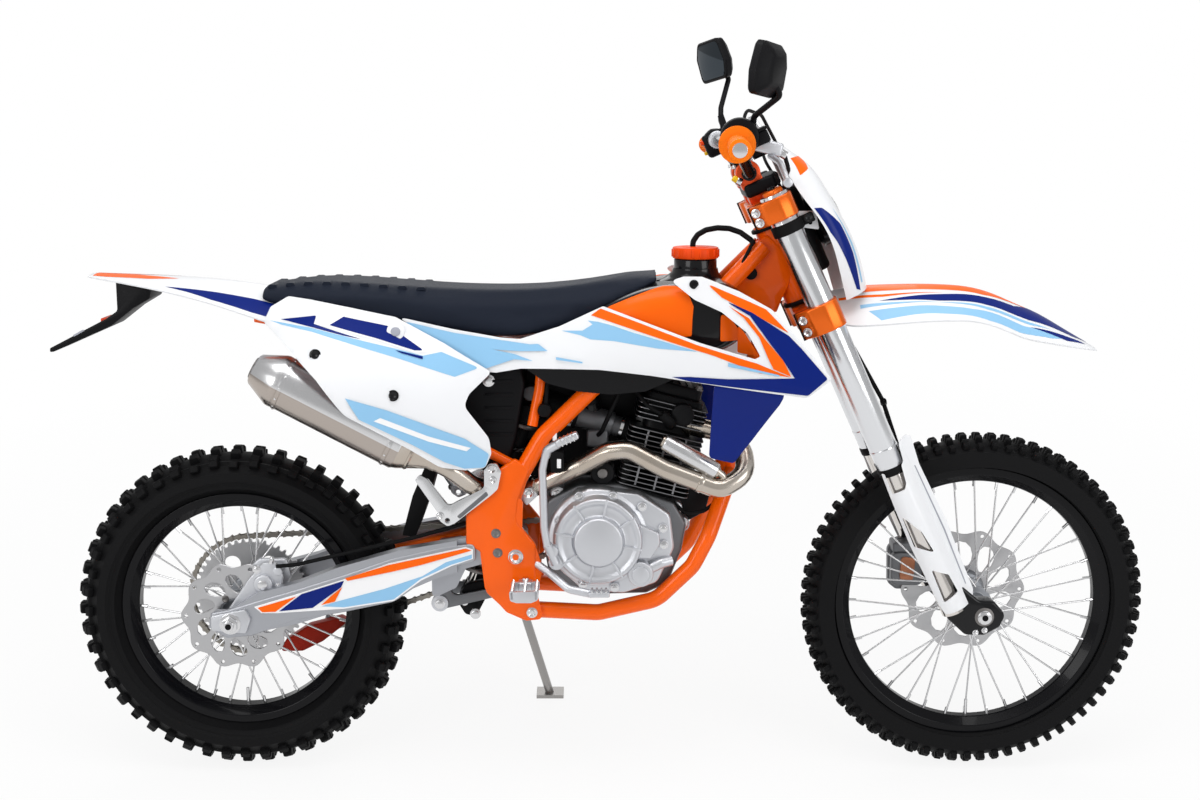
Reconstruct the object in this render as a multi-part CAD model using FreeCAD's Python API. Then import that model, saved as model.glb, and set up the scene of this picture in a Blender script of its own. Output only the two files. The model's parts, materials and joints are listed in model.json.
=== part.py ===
"""Enduro dirt bike, as an assembly of separate named pieces, in millimetres.

Every piece is drawn with the bike upright: X forward from the rear axle, Y to the rider's left,
Z up from the ground. What steers is drawn in the steering frame: its Z up the steering axis, its
X forward. At the end the whole bike is leaned over onto its side stand.
"""
import FreeCAD
import Part
import math
import os
from FreeCAD import Placement, Rotation, Vector

# Driving dimensions

lean_angle = 8.0
rake = 24.5
steering_point_x = 1038.0
steering_point_z = 1131.0
steering_limit = 42.0

rear_tyre_r = 332.0
rear_tyre_width = 114.0
rear_rim_seat_r = 228.6
rear_rim_width = 56.0
front_tyre_r = 345.0
front_tyre_width = 86.0
front_rim_seat_r = 266.7
front_rim_width = 42.0
tyre_crown_r = 62.0
rim_depth = 16.0
rim_wall = 3.5
flange_height = 11.0
lug_height = 14.0
rear_lugs = 34
front_lugs = 42

axle_r = 10.0
axle_bore_r = 6.0
running_clearance = 0.05
spoke_r = 1.8
spokes_per_side = 18

fork_spacing = 210.0
fork_offset = 24.0
axle_lead = 48.05
fork_outer_r = 27.5
fork_inner_r = 24.0
clamp_height = 44.0
lower_clamp_height = 54.0
lower_clamp_level = -251.0
stem_r = 15.0
head_tube_r = 30.0
head_gap = 6.0
seat_gap = 0.3

bar_r = 14.3
bar_half = 405.0
bar_straight = 175.0
bar_level = 80.0
grip_r = 18.0
grip_length = 128.0
grip_flange_r = 33.0

chain_y = 74.0
chain_pitch = 15.875
roller_r = 5.08
chain_plate_h = 13.0
chain_waist = 2.6
chain_half = 8.0
rear_teeth = 48
front_teeth = 14
sprocket_clear = 1.0
sprocket_thick = 5.6
drive_x = 612.0
drive_z = 455.0

rear_disc_r = 110.0
rear_disc_y = -72.0
front_disc_r = 128.0
front_disc_y = 68.0
disc_thick = 4.0
disc_gap = 2.5

pivot_x = 556.0
pivot_z = 463.0
pivot_r = 10.0
plate_y = 108.0
plate_thick = 6.0
spar_r = 17.0
cradle_r = 16.0
cradle_y = 92.0
downtube_r = 24.0
rail_r = 11.0
strut_r = 10.0

kick_x = 638.0
kick_z = 454.0
kick_y = 134.0
cylinder_tilt = 14.0
barrel_size = 148.0
header_r = 19.0
silencer_r = 52.0
silencer_y = -125.0

peg_hole_x = 428.0
peg_hole_z = 526.0
peg_hole_r = 4.0

skin = 3.0
guard_thick = 4.0
stand_foot_x = 612.0
stand_foot_y = 275.0
stand_pivot = Vector(548.0, 128.0, 322.0)
stand_fold = 98.0
stand_leg_r = 9.0

# Places that follow from them

sin_rake = math.sin(math.radians(rake))
cos_rake = math.cos(math.radians(rake))
sin_lean = math.sin(math.radians(lean_angle))
cos_lean = math.cos(math.radians(lean_angle))
axle_forward = fork_offset + axle_lead
axle_level = (front_tyre_r - steering_point_z - axle_forward * sin_rake) / cos_rake
steering_point = Vector(steering_point_x, 0, steering_point_z)
steering_frame = Placement(steering_point, Rotation(Vector(0, 1, 0), -rake))
rear_axle = Vector(0, 0, rear_tyre_r)
front_axle = steering_frame.multVec(Vector(axle_forward, 0, axle_level))
wheelbase = front_axle.x
fork_y = fork_spacing / 2
chain_rear_r = chain_pitch / (2 * math.sin(math.pi / rear_teeth)) + 3.2
chain_front_r = chain_pitch / (2 * math.sin(math.pi / front_teeth))
sprocket_tip_r = chain_rear_r - roller_r - sprocket_clear
Y_AXIS = Vector(0, 1, 0)
plate_tip_x = -351.0
origin_x = (wheelbase + front_tyre_r + plate_tip_x) / 2
bar_end = Vector(-22, bar_half, 143)
rise_y = bar_half - bar_straight
origin_y = steering_frame.multVec(bar_end).z * sin_lean
origin_lift = tyre_crown_r * (1 - cos_lean)


def lean_placement():
    """The parked pose: leaned to the left about the line through both tyres."""
    leaned = Placement(Vector(0, 0, 0), Rotation(Vector(1, 0, 0), -lean_angle))
    return Placement(Vector(-origin_x, -origin_y, origin_lift), Rotation()).multiply(leaned)


# Small tools of shape

def unit(v):
    return v * (1.0 / v.Length)


def rounded_edges(points, radii, closed=False):
    """Straight runs joined by tangent arcs; a radius of 0 leaves a sharp corner."""
    count = len(points)
    corners = range(count) if closed else range(1, count - 1)
    cut = {}
    for i in corners:
        before = points[i - 1]
        here = points[i]
        after = points[(i + 1) % count]
        a = unit(before - here)
        b = unit(after - here)
        half = a.getAngle(b) / 2
        longest = 0.45 * min((before - here).Length, (after - here).Length)
        radius = min(radii[i], longest * math.tan(half))
        if radius < 0.01 or half > math.pi / 2 - 0.002:
            cut[i] = (here, None, here)
            continue
        reach = radius / math.tan(half)
        middle = here + unit(a + b) * (radius / math.sin(half) - radius)
        cut[i] = (here + a * reach, middle, here + b * reach)
    edges = []
    order = list(range(count))
    if not closed:
        cut[0] = (points[0], None, points[0])
        cut[count - 1] = (points[-1], None, points[-1])
    for i in order:
        start, middle, end = cut[i]
        if middle is not None:
            edges.append(Part.Arc(start, middle, end).toShape())
        if i == count - 1 and not closed:
            break
        following = cut[(i + 1) % count][0]
        if (following - end).Length > 1e-4:
            edges.append(Part.LineSegment(end, following).toShape())
    return edges


def tube(points, radius, bend=60.0):
    """A round bar or pipe along straight runs and tangent bends."""
    points = [Vector(*p) for p in points]
    edges = rounded_edges(points, [bend] * len(points))
    path = Part.Wire(edges)
    along = unit(points[1] - points[0])
    ring = Part.Wire(Part.makeCircle(radius, points[0], along))
    return path.makePipeShell([ring], True, False)


def mirrored(shape):
    return shape.mirror(Vector(0, 0, 0), Y_AXIS)


def both(shape):
    return [shape, mirrored(shape)]


def outline_face(outline, y=0.0):
    """A flat face in the side view, from (x, z) or (x, z, corner radius)."""
    points = [Vector(p[0], y, p[1]) for p in outline]
    radii = [p[2] if len(p) > 2 else 0.0 for p in outline]
    return Part.Face(Part.Wire(rounded_edges(points, radii, closed=True)))


def side_plate(outline, y0, y1):
    """A plate drawn in the side view, between two values of Y."""
    return outline_face(outline, y0).extrude(Vector(0, y1 - y0, 0))


def top_plate(outline, z0, z1):
    """A plate drawn in the top view from (x, y) or (x, y, corner radius)."""
    points = [Vector(p[0], p[1], z0) for p in outline]
    radii = [p[2] if len(p) > 2 else 0.0 for p in outline]
    face = Part.Face(Part.Wire(rounded_edges(points, radii, closed=True)))
    return face.extrude(Vector(0, 0, z1 - z0))


def block(x0, x1, y0, y1, z0, z1):
    return Part.makeBox(x1 - x0, y1 - y0, z1 - z0, Vector(x0, y0, z0))


def rod(start, end, radius):
    start = Vector(*start)
    end = Vector(*end)
    return Part.makeCylinder(radius, (end - start).Length, start, end - start)


def disc(x, z, y0, y1, radius):
    """A cylinder across the bike."""
    return Part.makeCylinder(radius, y1 - y0, Vector(x, y0, z), Y_AXIS)


def fused(shapes):
    shapes = list(shapes)
    if len(shapes) == 1:
        return shapes[0]
    return shapes[0].multiFuse(shapes[1:]).removeSplitter()


def fused_tool(shapes):
    """Several shapes as one cutting tool."""
    return Part.makeCompound(list(shapes))


def wheel_ring(profile, centre):
    """A ring about the axle from (radius, y) or (radius, y, corner radius) points."""
    points = [Vector(p[0], p[1], 0) for p in profile]
    radii = [p[2] if len(p) > 2 else 0.0 for p in profile]
    face = Part.Face(Part.Wire(rounded_edges(points, radii, closed=True)))
    ring = face.revolve(Vector(0, 0, 0), Y_AXIS, 360)
    ring.translate(centre)
    return ring


def box_section(x, half_width, z0, z1, corner):
    """A rounded section across the bike at X = x."""
    points = [Vector(x, -half_width, z0), Vector(x, half_width, z0),
              Vector(x, half_width, z1), Vector(x, -half_width, z1)]
    return Part.Wire(rounded_edges(points, [corner] * 4, closed=True))


def arch_section(x, half_width, z, drop, thick):
    """An arched band across the bike at X = x, its crown at z and its edges drop lower."""
    top = Part.Arc(Vector(x, -half_width, z - drop), Vector(x, 0, z), Vector(x, half_width, z - drop))
    low = Part.Arc(Vector(x, half_width, z - drop - thick), Vector(x, 0, z - thick),
                   Vector(x, -half_width, z - drop - thick))
    right = Part.LineSegment(Vector(x, half_width, z - drop), Vector(x, half_width, z - drop - thick))
    left = Part.LineSegment(Vector(x, -half_width, z - drop - thick), Vector(x, -half_width, z - drop))
    return Part.Wire([top.toShape(), right.toShape(), low.toShape(), left.toShape()])


def moulded_wall(sections, thick):
    """A thin wall lofted along X through curves across the bike, each (x, [(y, z), ...])."""
    wires = []
    for x, line in sections:
        outer = Part.BSplineCurve()
        outer.interpolate([Vector(x, y, z) for y, z in line])
        inner = Part.BSplineCurve()
        inner.interpolate([Vector(x, y + thick, z) for y, z in line])
        low = Part.LineSegment(outer.EndPoint, inner.EndPoint).toShape()
        high = Part.LineSegment(inner.StartPoint, outer.StartPoint).toShape()
        wires.append(Part.Wire([outer.toShape(), low, inner.toShape(), high]))
    return Part.makeLoft(wires, True, False)


def moulded_panel(outline, sections, thick):
    """A moulded panel on the right side: its side view cut from a curved wall."""
    return moulded_wall(sections, thick).common(side_plate(outline, -260, -40))


def behind(shape, sections, gap):
    """What of a shape lies more than gap inside the outer face of a moulded wall."""
    outside = [(x, [(y - 90, z) for y, z in line]) for x, line in sections]
    return shape.cut(moulded_wall(outside, 90 + gap))


def ring_of(make, count, centre, axis=Y_AXIS):
    """Copies of a shape turned evenly about an axis."""
    shapes = []
    for i in range(count):
        shape = make.copy()
        shape.rotate(centre, axis, 360.0 * i / count)
        shapes.append(shape)
    return shapes


nodes = {}


def keep(name, *solids):
    nodes[name] = list(solids)


def keep_steering(name, *solids):
    placed = []
    for solid in solids:
        solid = solid.copy()
        solid.Placement = steering_frame.multiply(solid.Placement)
        placed.append(solid)
    nodes[name] = placed


# Wheels

def crown_point(radius, reach, angle):
    """A point over a tyre's crown, its angle measured from the middle of the tread."""
    angle = math.radians(angle)
    return Vector(radius - tyre_crown_r + reach * math.cos(angle), reach * math.sin(angle), 0)


def lug_row(radius, first, last, count, share, shift):
    """One row of rubber blocks round the tyre, between two angles across its crown."""
    foot = tyre_crown_r - lug_height - 2
    outer = Part.Arc(crown_point(radius, tyre_crown_r, first), crown_point(radius, tyre_crown_r, (first + last) / 2),
                     crown_point(radius, tyre_crown_r, last)).toShape()
    run = [crown_point(radius, tyre_crown_r, last), crown_point(radius, foot, last),
           crown_point(radius, foot, first), crown_point(radius, tyre_crown_r, first)]
    sides = [Part.LineSegment(a, b).toShape() for a, b in zip(run, run[1:])]
    section = Part.Face(Part.Wire([outer] + sides))
    pitch = 360.0 / count
    section.rotate(Vector(0, 0, 0), Y_AXIS, shift * pitch)
    lug = section.revolve(Vector(0, 0, 0), Y_AXIS, pitch * share)
    return ring_of(lug, count, Vector(0, 0, 0))


def tyre(radius, width, seat_r, rim_width, centre, count):
    """A knobbly tyre: a rounded casing with beads on the rim, and rows of blocks out to its full radius."""
    half = width / 2
    bead = rim_width / 2
    casing_r = tyre_crown_r - lug_height
    shoulder = math.degrees(math.asin(half * 0.8 / tyre_crown_r))
    crown = Part.Arc(crown_point(radius, casing_r, -shoulder), crown_point(radius, casing_r, 0),
                     crown_point(radius, casing_r, shoulder))
    wall = radius - lug_height
    run = [crown_point(radius, casing_r, shoulder), Vector(wall - 34, half * 0.94, 0),
           Vector(seat_r + 30, half * 0.86, 0), Vector(seat_r + flange_height + 1, bead, 0),
           Vector(seat_r, bead, 0), Vector(seat_r, bead - 12, 0),
           Vector(seat_r + 30, half * 0.66, 0), Vector(wall - 14, half * 0.5, 0)]
    run += [Vector(p.x, -p.y, 0) for p in reversed(run)]
    edges = [crown.toShape()] + [Part.LineSegment(a, b).toShape() for a, b in zip(run, run[1:])]
    casing = Part.Face(Part.Wire(Part.__sortEdges__(edges))).revolve(Vector(0, 0, 0), Y_AXIS, 360)
    inner = shoulder * 0.56
    lugs = lug_row(radius, -shoulder * 0.36, shoulder * 0.36, count, 0.46, 0.5)
    lugs += lug_row(radius, inner, shoulder * 1.08, count, 0.52, 0.0)
    lugs += lug_row(radius, -shoulder * 1.08, -inner, count, 0.52, 0.0)
    whole = casing.multiFuse(lugs)
    whole.translate(centre)
    return whole


def rim(seat_r, width, centre):
    """A channel rim with raised flanges and a dropped centre."""
    half = width / 2
    top = seat_r + flange_height
    well = seat_r - rim_depth
    profile = [(well, -half * 0.4, 3), (well, half * 0.4, 3), (seat_r, half - 13, 3), (seat_r, half), (top, half),
               (top, half + rim_wall, 1.5), (seat_r - 4, half + rim_wall, 3), (well - rim_wall, half * 0.5, 4),
               (well - rim_wall, -half * 0.5, 4), (seat_r - 4, -half - rim_wall, 3), (top, -half - rim_wall, 1.5),
               (top, -half), (seat_r, -half), (seat_r, -half + 13, 3)]
    return wheel_ring(profile, centre)


def spokes(inner_r, inner_y, outer_r, outer_y, centre, start=0.0):
    """Crossed spokes from both hub flanges to the rim."""
    made = []
    step = 360.0 / spokes_per_side
    for side in (-1, 1):
        for i in range(spokes_per_side):
            angle = start + i * step + (step / 2 if side > 0 else 0)
            sweep = 34.0 if i % 2 else -34.0
            a = math.radians(angle + sweep)
            b = math.radians(angle)
            start_point = Vector(inner_r * math.cos(a), side * inner_y, inner_r * math.sin(a))
            end_point = Vector(outer_r * math.cos(b), side * outer_y, outer_r * math.sin(b))
            lift = 2.2 if i % 2 else -2.2
            start_point.y += lift
            made.append(rod(start_point + centre, end_point + centre, spoke_r))
    return made


def wheel(prefix, centre, tyre_r, tyre_width, seat_r, rim_width, lugs, flange_r, flange_y, hub_profile):
    hoop = rim(seat_r, rim_width, centre)
    hub = wheel_ring(hub_profile, centre)
    laced = spokes(flange_r - 2, flange_y, seat_r - rim_depth - 1, 6.0, centre)
    keep(prefix + "_tyre", tyre(tyre_r, tyre_width, seat_r, rim_width, centre, lugs))
    keep(prefix + "_rim", hoop)
    keep(prefix + "_hub", hub)
    keep(prefix + "_spokes", *[spoke.cut(fused_tool([hoop, hub])) for spoke in laced])


bore = axle_r + running_clearance
rear_hub = [(bore, -62), (bore, 62), (46, 62, 2), (46, 52, 2), (30, 46, 4), (30, 40, 2), (44, 38, 2), (44, 32, 2),
            (26, 28, 6), (26, -28, 6), (44, -32, 2), (44, -38, 2), (30, -40, 2), (30, -48, 4), (46, -56, 2),
            (46, -62, 2)]
front_hub = [(bore, -58), (bore, 58), (40, 58, 2), (40, 52, 2), (24, 44, 4), (24, 36, 2), (36, 34, 2),
             (36, 28, 2), (20, 24, 6), (20, -24, 6), (36, -28, 2), (36, -34, 2), (24, -36, 2), (22, -58, 2)]
wheel("rear", rear_axle, rear_tyre_r, rear_tyre_width, rear_rim_seat_r, rear_rim_width, rear_lugs, 44, 35, rear_hub)
wheel("front", front_axle, front_tyre_r, front_tyre_width, front_rim_seat_r, front_rim_width, front_lugs, 36, 31,
      front_hub)


def brake_disc(centre, y, radius, hub_r, holes):
    """A drilled brake disc with a scalloped edge and an open centre on arms."""
    plate = disc(centre.x, centre.z, y - disc_thick / 2, y + disc_thick / 2, radius)
    plate = plate.cut(disc(centre.x, centre.z, y - disc_thick, y + disc_thick, hub_r - 14))
    scallop = disc(centre.x + radius + 9, centre.z, y - disc_thick, y + disc_thick, 14)
    scallops = ring_of(scallop, 10, centre)
    window = disc(centre.x + radius - 40, centre.z, y - disc_thick, y + disc_thick, 12)
    windows = ring_of(window, holes, centre)
    return plate.cut(fused_tool(scallops + windows))


keep("rear_disc", brake_disc(rear_axle, rear_disc_y, rear_disc_r, 46, 10)
     .fuse(disc(0, rear_tyre_r, rear_disc_y + disc_thick / 2, -62, 46).cut(
         disc(0, rear_tyre_r, -100, 0, 32))))
keep("front_disc", brake_disc(front_axle, front_disc_y, front_disc_r, 46, 10)
     .fuse(disc(wheelbase, front_tyre_r, 58, front_disc_y - disc_thick / 2, 40).cut(
         disc(wheelbase, front_tyre_r, 0, 100, 32))))


def sprocket():
    """The driven sprocket: teeth, spider arms and its seat on the hub."""
    y0 = chain_y - sprocket_thick / 2
    y1 = chain_y + sprocket_thick / 2
    points = []
    step = 2 * math.pi / rear_teeth
    root_r = sprocket_tip_r - 7
    for i in range(rear_teeth):
        for share, radius in ((-0.30, root_r), (-0.12, sprocket_tip_r), (0.12, sprocket_tip_r), (0.30, root_r)):
            angle = (i + share) * step
            points.append((radius * math.cos(angle), rear_tyre_r + radius * math.sin(angle)))
    plate = side_plate(points, y0, y1)
    windows = ring_of(disc(76, rear_tyre_r, y0 - 1, y1 + 1, 17), 6, rear_axle)
    plate = plate.cut(fused_tool(windows))
    plate = plate.cut(disc(0, rear_tyre_r, y0 - 1, y1 + 1, 32))
    seat = disc(0, rear_tyre_r, 62, y0, 46).cut(disc(0, rear_tyre_r, 50, y1, 32))
    return plate.fuse(seat)


keep("rear_sprocket", sprocket())

# Rear axle, swingarm and drive

swingarm_outer = 118.0
swingarm_inner = 90.0
axle_end = 124.0


def rear_axle_pieces():
    """The hollow axle, its nuts, and the spacers that centre the hub."""
    hollow = disc(0, rear_tyre_r, -axle_end - 14, axle_end + 14, axle_bore_r)
    shaft = disc(0, rear_tyre_r, -axle_end - 8, axle_end + 8, axle_r)
    nuts = [disc(0, rear_tyre_r, swingarm_outer, axle_end + 4, 17),
            disc(0, rear_tyre_r, -axle_end - 4, -swingarm_outer, 17)]
    spacers = [disc(0, rear_tyre_r, 62.3, swingarm_inner, 15), disc(0, rear_tyre_r, -swingarm_inner, -62.3, 15)]
    return fused([shaft] + nuts + spacers).cut(hollow)


keep("rear_axle", rear_axle_pieces())

shock_top = Vector(585, 0, 770)
shock_low = Vector(452, 0, 352)
arm_outline = [(-44, rear_tyre_r - 10, 8), (-40, rear_tyre_r + 18, 8), (-8, rear_tyre_r + 20, 10),
               (55, rear_tyre_r + 60, 30), (134, 413, 60), (213, 444, 90),
               (332, 478, 90), (470, 502, 20), (pivot_x - 18, 486, 12), (pivot_x, 489, 18),
               (pivot_x + 24, pivot_z, 22), (pivot_x, 437, 18), (500, 450, 20), (409, 424, 90),
               (330, 389, 90), (231, 362, 90), (131, rear_tyre_r - 2, 60), (-8, rear_tyre_r - 32, 10)]


def swingarm():
    """Two tapered arms joined by a cross box behind the pivot, and a pivot tube between them."""
    axle_hole = disc(0, rear_tyre_r, -200, 200, axle_r)
    pivot_hole = disc(pivot_x, pivot_z, -200, 200, pivot_r)
    arms = []
    for side in (-1, 1):
        low, high = sorted((side * swingarm_inner, side * (plate_y - 1)))
        arm = side_plate(arm_outline, low, high)
        outer_low, outer_high = sorted((side * (plate_y - 1), side * swingarm_outer))
        flank = side_plate(arm_outline, outer_low, outer_high)
        flank = flank.cut(block(445, 700, -200, 200, 300, 600))
        arms.append(arm.fuse(flank))
    cross = side_plate([(392, 372, 8), (392, 455, 8), (440, 462, 8), (462, 440, 8), (440, 395, 8)],
                       -swingarm_inner, swingarm_inner)
    shock_way = Part.makeCylinder(41, 600, shock_top, shock_low - shock_top)
    chain_slot = block(380, 480, chain_y - 12, chain_y + 12, 448, 480)
    pivot_tube = disc(pivot_x, pivot_z, -swingarm_inner, chain_y - 14, 20)
    whole = fused(arms + [cross.cut(chain_slot).cut(shock_way), pivot_tube])
    return whole.cut(axle_hole).cut(pivot_hole)


keep("swingarm", swingarm())


def chain_loop():
    """Places and headings every half pitch round the chain: two straight runs and two wraps."""
    rear = Vector(0, 0, rear_tyre_r)
    front = Vector(drive_x, 0, drive_z)
    gap = front - rear
    slope = math.atan2(gap.z, gap.x)
    spread = math.acos((chain_rear_r - chain_front_r) / gap.Length)
    run = math.sqrt(gap.Length ** 2 - (chain_rear_r - chain_front_r) ** 2)
    parts = [(run, rear, chain_rear_r, slope + spread, 0.0),
             (2 * spread * chain_front_r, front, chain_front_r, slope + spread, 1.0 / chain_front_r),
             (run, front, chain_front_r, slope - spread, 0.0),
             (2 * (math.pi - spread) * chain_rear_r, rear, chain_rear_r, slope - spread, 1.0 / chain_rear_r)]
    total = sum(part[0] for part in parts)
    count = 4 * round(total / chain_pitch / 2)
    places = []
    for i in range(count):
        distance = total * i / count
        for length, centre, radius, start, turn in parts:
            if distance < length:
                break
            distance -= length
        angle = start - distance * turn
        out = Vector(math.cos(angle), 0, math.sin(angle))
        heading = Vector(math.sin(angle), 0, -math.cos(angle))
        places.append((centre + out * radius + heading * (0 if turn else distance), out))
    return places


def chain():
    """The drive chain as one closed loop, its edges waisted between the pins."""
    loops = []
    for side in (1, -1):
        points = []
        for i, (place, out) in enumerate(chain_loop()):
            reach = chain_plate_h / 2 if i % 2 == 0 else chain_plate_h / 2 - chain_waist
            point = place + out * side * min(reach, roller_r if side < 0 else reach)
            points.append((point.x, point.z))
        loops.append(side_plate(points, chain_y - chain_half, chain_y + chain_half))
    return loops[0].cut(loops[1])


keep("chain", chain())

# Frame

head_low = lower_clamp_level + lower_clamp_height + head_gap
head_high = -clamp_height / 2 - head_gap
head_tube = Part.makeCylinder(head_tube_r, head_high - head_low, Vector(0, 0, head_low))
head_bore = Part.makeCylinder(stem_r + running_clearance, 400, Vector(0, 0, head_low - 50))
head_tube.Placement = steering_frame
head_bore.Placement = steering_frame


def spar(side):
    return tube([(1040, side * 30, 1062), (950, side * 52, 968), (800, side * 74, 852), (715, side * 92, 800),
                 (612, side * 99, 700), (566, side * 99, 620), (548, side * 99, 560)], spar_r, 90)


def gusset():
    """The plate box that joins head tube, spars and down tube."""
    return side_plate([(1044, 1075, 6), (1000, 1035, 10), (985, 985, 20), (1036, 900, 10), (1060, 912, 6),
                       (1078, 960, 6)], -26, 26)


downtube_points = [(1044, 0, 926), (1049, 0, 880), (962, 0, 575)]


def cradle(side, grow=0.0):
    return tube([(985, side * 30, 620), (935, side * cradle_y, 500), (905, side * cradle_y, 440),
                 (835, side * cradle_y, 372), (720, side * cradle_y, 345), (585, side * cradle_y, 352)],
                cradle_r + grow, 60)


lower_clamp_way = Part.makeCylinder(64, lower_clamp_height + 2 * head_gap,
                                    Vector(0, 0, lower_clamp_level - head_gap))
lower_clamp_way.Placement = steering_frame


def head_and_spars():
    """Head tube, gusset and side spars, open where the lower clamp swings."""
    spine = fused([head_tube, gusset()] + [spar(1), spar(-1)])
    return spine.cut(head_bore).cut(lower_clamp_way)


headstock = head_and_spars()
keep("frame_spars", headstock)


def lower_frame(grow=0.0):
    """The down tube and the two cradle tubes below the engine."""
    down = tube(downtube_points, downtube_r + grow, 200)
    return fused([down, cradle(1, grow), cradle(-1, grow)])


cradles = lower_frame().cut(headstock).cut(head_bore).cut(lower_clamp_way)
cradle_seat = lower_frame(seat_gap)
keep("frame_cradle", cradles)

plate_outline = [(500, 566, 14), (494, 540, 10), (490, 470, 12), (498, 400, 16), (540, 352, 14), (578, 335, 12),
                 (612, 338, 10), (600, 392, 20), (612, 440, 20), (600, 480, 20), (572, 520, 20), (574, 580, 12),
                 (530, 590, 14)]


def pivot_plates():
    """The two plates that hold the swingarm pivot, tied by cross tubes."""
    plates = []
    for side in (-1, 1):
        low, high = sorted((side * plate_y, side * (plate_y + plate_thick)))
        plates.append(side_plate(plate_outline, low, high))
    lower_tie = disc(572, 362, -plate_y, plate_y, 12)
    pivot_bolt = disc(pivot_x, pivot_z, -plate_y - plate_thick - 6, plate_y + plate_thick + 6, pivot_r)
    whole = fused(plates + [lower_tie, pivot_bolt])
    return whole.cut(fused_tool([headstock, cradles]))


rail_points = [(690, 66, 838), (560, 72, 858), (300, 78, 890), (60, 70, 930)]


def subframe(grow=0.0):
    """Seat rails with their lower struts and two cross ties."""
    rails = []
    for side in (-1, 1):
        rails.append(tube([(x, side * y, z) for x, y, z in rail_points], rail_r + grow, 120))
        rails.append(tube([(592, side * 92, 720), (606, side * 80, 790), (612, side * 72, 846)], strut_r + grow, 60))
        rails.append(tube([(560, side * 92, 640), (420, side * 80, 712), (160, side * 76, 908)], strut_r + grow, 120))
    ties = [rod((150, -74, 914), (150, 74, 914), 9 + grow), rod((560, -72, 858), (560, 72, 858), 9 + grow)]
    return fused(rails + ties)


rear_frame = subframe().cut(headstock)
rail_seat = subframe(seat_gap)
keep("subframe", rear_frame)

# Rear suspension


def along_shock(distance):
    return shock_top + unit(shock_low - shock_top) * distance


def shock():
    """Damper body, shaft, spring seats and end eyes."""
    axis = shock_low - shock_top
    length = axis.Length
    body = Part.makeCylinder(23, length * 0.52, along_shock(24), axis)
    seat = Part.makeCylinder(36, 8, along_shock(60), axis)
    low_seat = Part.makeCylinder(34, 8, along_shock(length - 60), axis)
    shaft = Part.makeCylinder(8, length - 24, along_shock(12), axis)
    eyes = [disc(shock_top.x, shock_top.z, -14, 14, 15), disc(shock_low.x, shock_low.z, -14, 14, 15)]
    return fused([body, seat, low_seat, shaft] + eyes)


def shock_spring():
    axis = shock_low - shock_top
    length = axis.Length - 60 - 8 - 60
    outer = Part.makeCylinder(35, length, along_shock(68), axis)
    inner = Part.makeCylinder(23.5, length, along_shock(68), axis)
    return outer.cut(inner)


rear_shock = shock().fuse(shock_spring())
keep("rear_shock", rear_shock)


def linkage():
    """The rocker and pull rods below the swingarm."""
    rocker = side_plate([(435, 352, 14), (455, 378, 10), (492, 392, 14), (500, 372, 12), (470, 335, 16)], 16, 34)
    rockers = both(rocker)
    rods = both(side_plate([(395, 398, 10), (400, 352, 14), (560, 372, 10), (560, 392, 10), (425, 372, 20),
                            (412, 400, 8)], 38, 48))
    pins = [disc(452, 352, -48, 48, 7)]
    return fused(rockers + rods + pins)


keep("linkage", linkage().cut(disc(shock_low.x, shock_low.z, -14, 14, 15.2)).cut(
    fused_tool([nodes["swingarm"][0], pivot_plates()])))

# Engine

case_right = 72.0
case_left = 60.0
case_outline = [(618, 470, 30), (622, 560, 20), (700, 592, 30), (880, 562, 12), (905, 520, 10), (888, 470, 12),
                (862, 400, 20), (815, 376, 14), (670, 372, 20), (628, 408, 20)]


def crankcase():
    """The plain engine block, with lugs to the down tube and a bolt between the cradle tubes."""
    block_itself = side_plate(case_outline, -case_right, case_left)
    front_lug = side_plate([(860, 560), (860, 515), (940, 505), (962, 548), (930, 566)], -14, 14)
    low_lug = side_plate([(672, 390), (716, 390), (704, 346, 6), (684, 346, 6)], -40, 40)
    low_bolt = disc(694, 354, -cradle_y, cradle_y, 8)
    return fused([block_itself, front_lug, low_lug, low_bolt]).cut(cradle_seat)


def tilted(shape):
    shape.rotate(Vector(822, 0, 572), Y_AXIS, cylinder_tilt)
    return shape


def barrel():
    """The finned cylinder and head, leaning forward."""
    half = barrel_size / 2
    base = block(822 - 48, 822 + 48, -48, 48, 572, 720)
    made = [base]
    for i in range(9):
        z = 590 + i * 12
        grow = 0 if i < 6 else 2
        fin = block(822 - half - grow, 822 + half + grow, -half, half, z, z + 3.5)
        made.append(fin)
    return tilted(fused(made))


def cylinder_head():
    half = 62
    body = block(822 - half, 822 + half, -half + 6, half - 6, 720, 772)
    cover = block(822 - half + 10, 822 + half - 10, -44, 44, 772, 800)
    fins = [block(822 - half - 8, 822 + half + 8, -66, 66, z, z + 3.5) for z in (728, 740, 752)]
    return tilted(fused([body, cover] + fins))


barrel_shape = barrel()
case_shape = crankcase().cut(barrel_shape)
keep("crankcase", case_shape)
keep("cylinder", barrel_shape.fuse(cylinder_head()))


def turned_cover(x, z, side, base_y, profile):
    """A turned cover on an engine side, from (radius, depth) or (radius, depth, corner radius)."""
    points = [(p[0], side * (base_y + p[1])) + tuple(p[2:]) for p in profile]
    return wheel_ring(points, Vector(x, 0, z))


def front_housing(x, z, side, base_y, depth):
    """The cover's plain extension ahead of its round part."""
    low, high = sorted((side * base_y, side * (base_y + depth)))
    return side_plate([(x + 40, z + 80, 20), (x + 125, z + 60, 20), (x + 150, z - 10, 20), (x + 120, z - 90, 24),
                       (x + 60, z - 118, 24), (x, z - 60, 10)], low, high)


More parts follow.
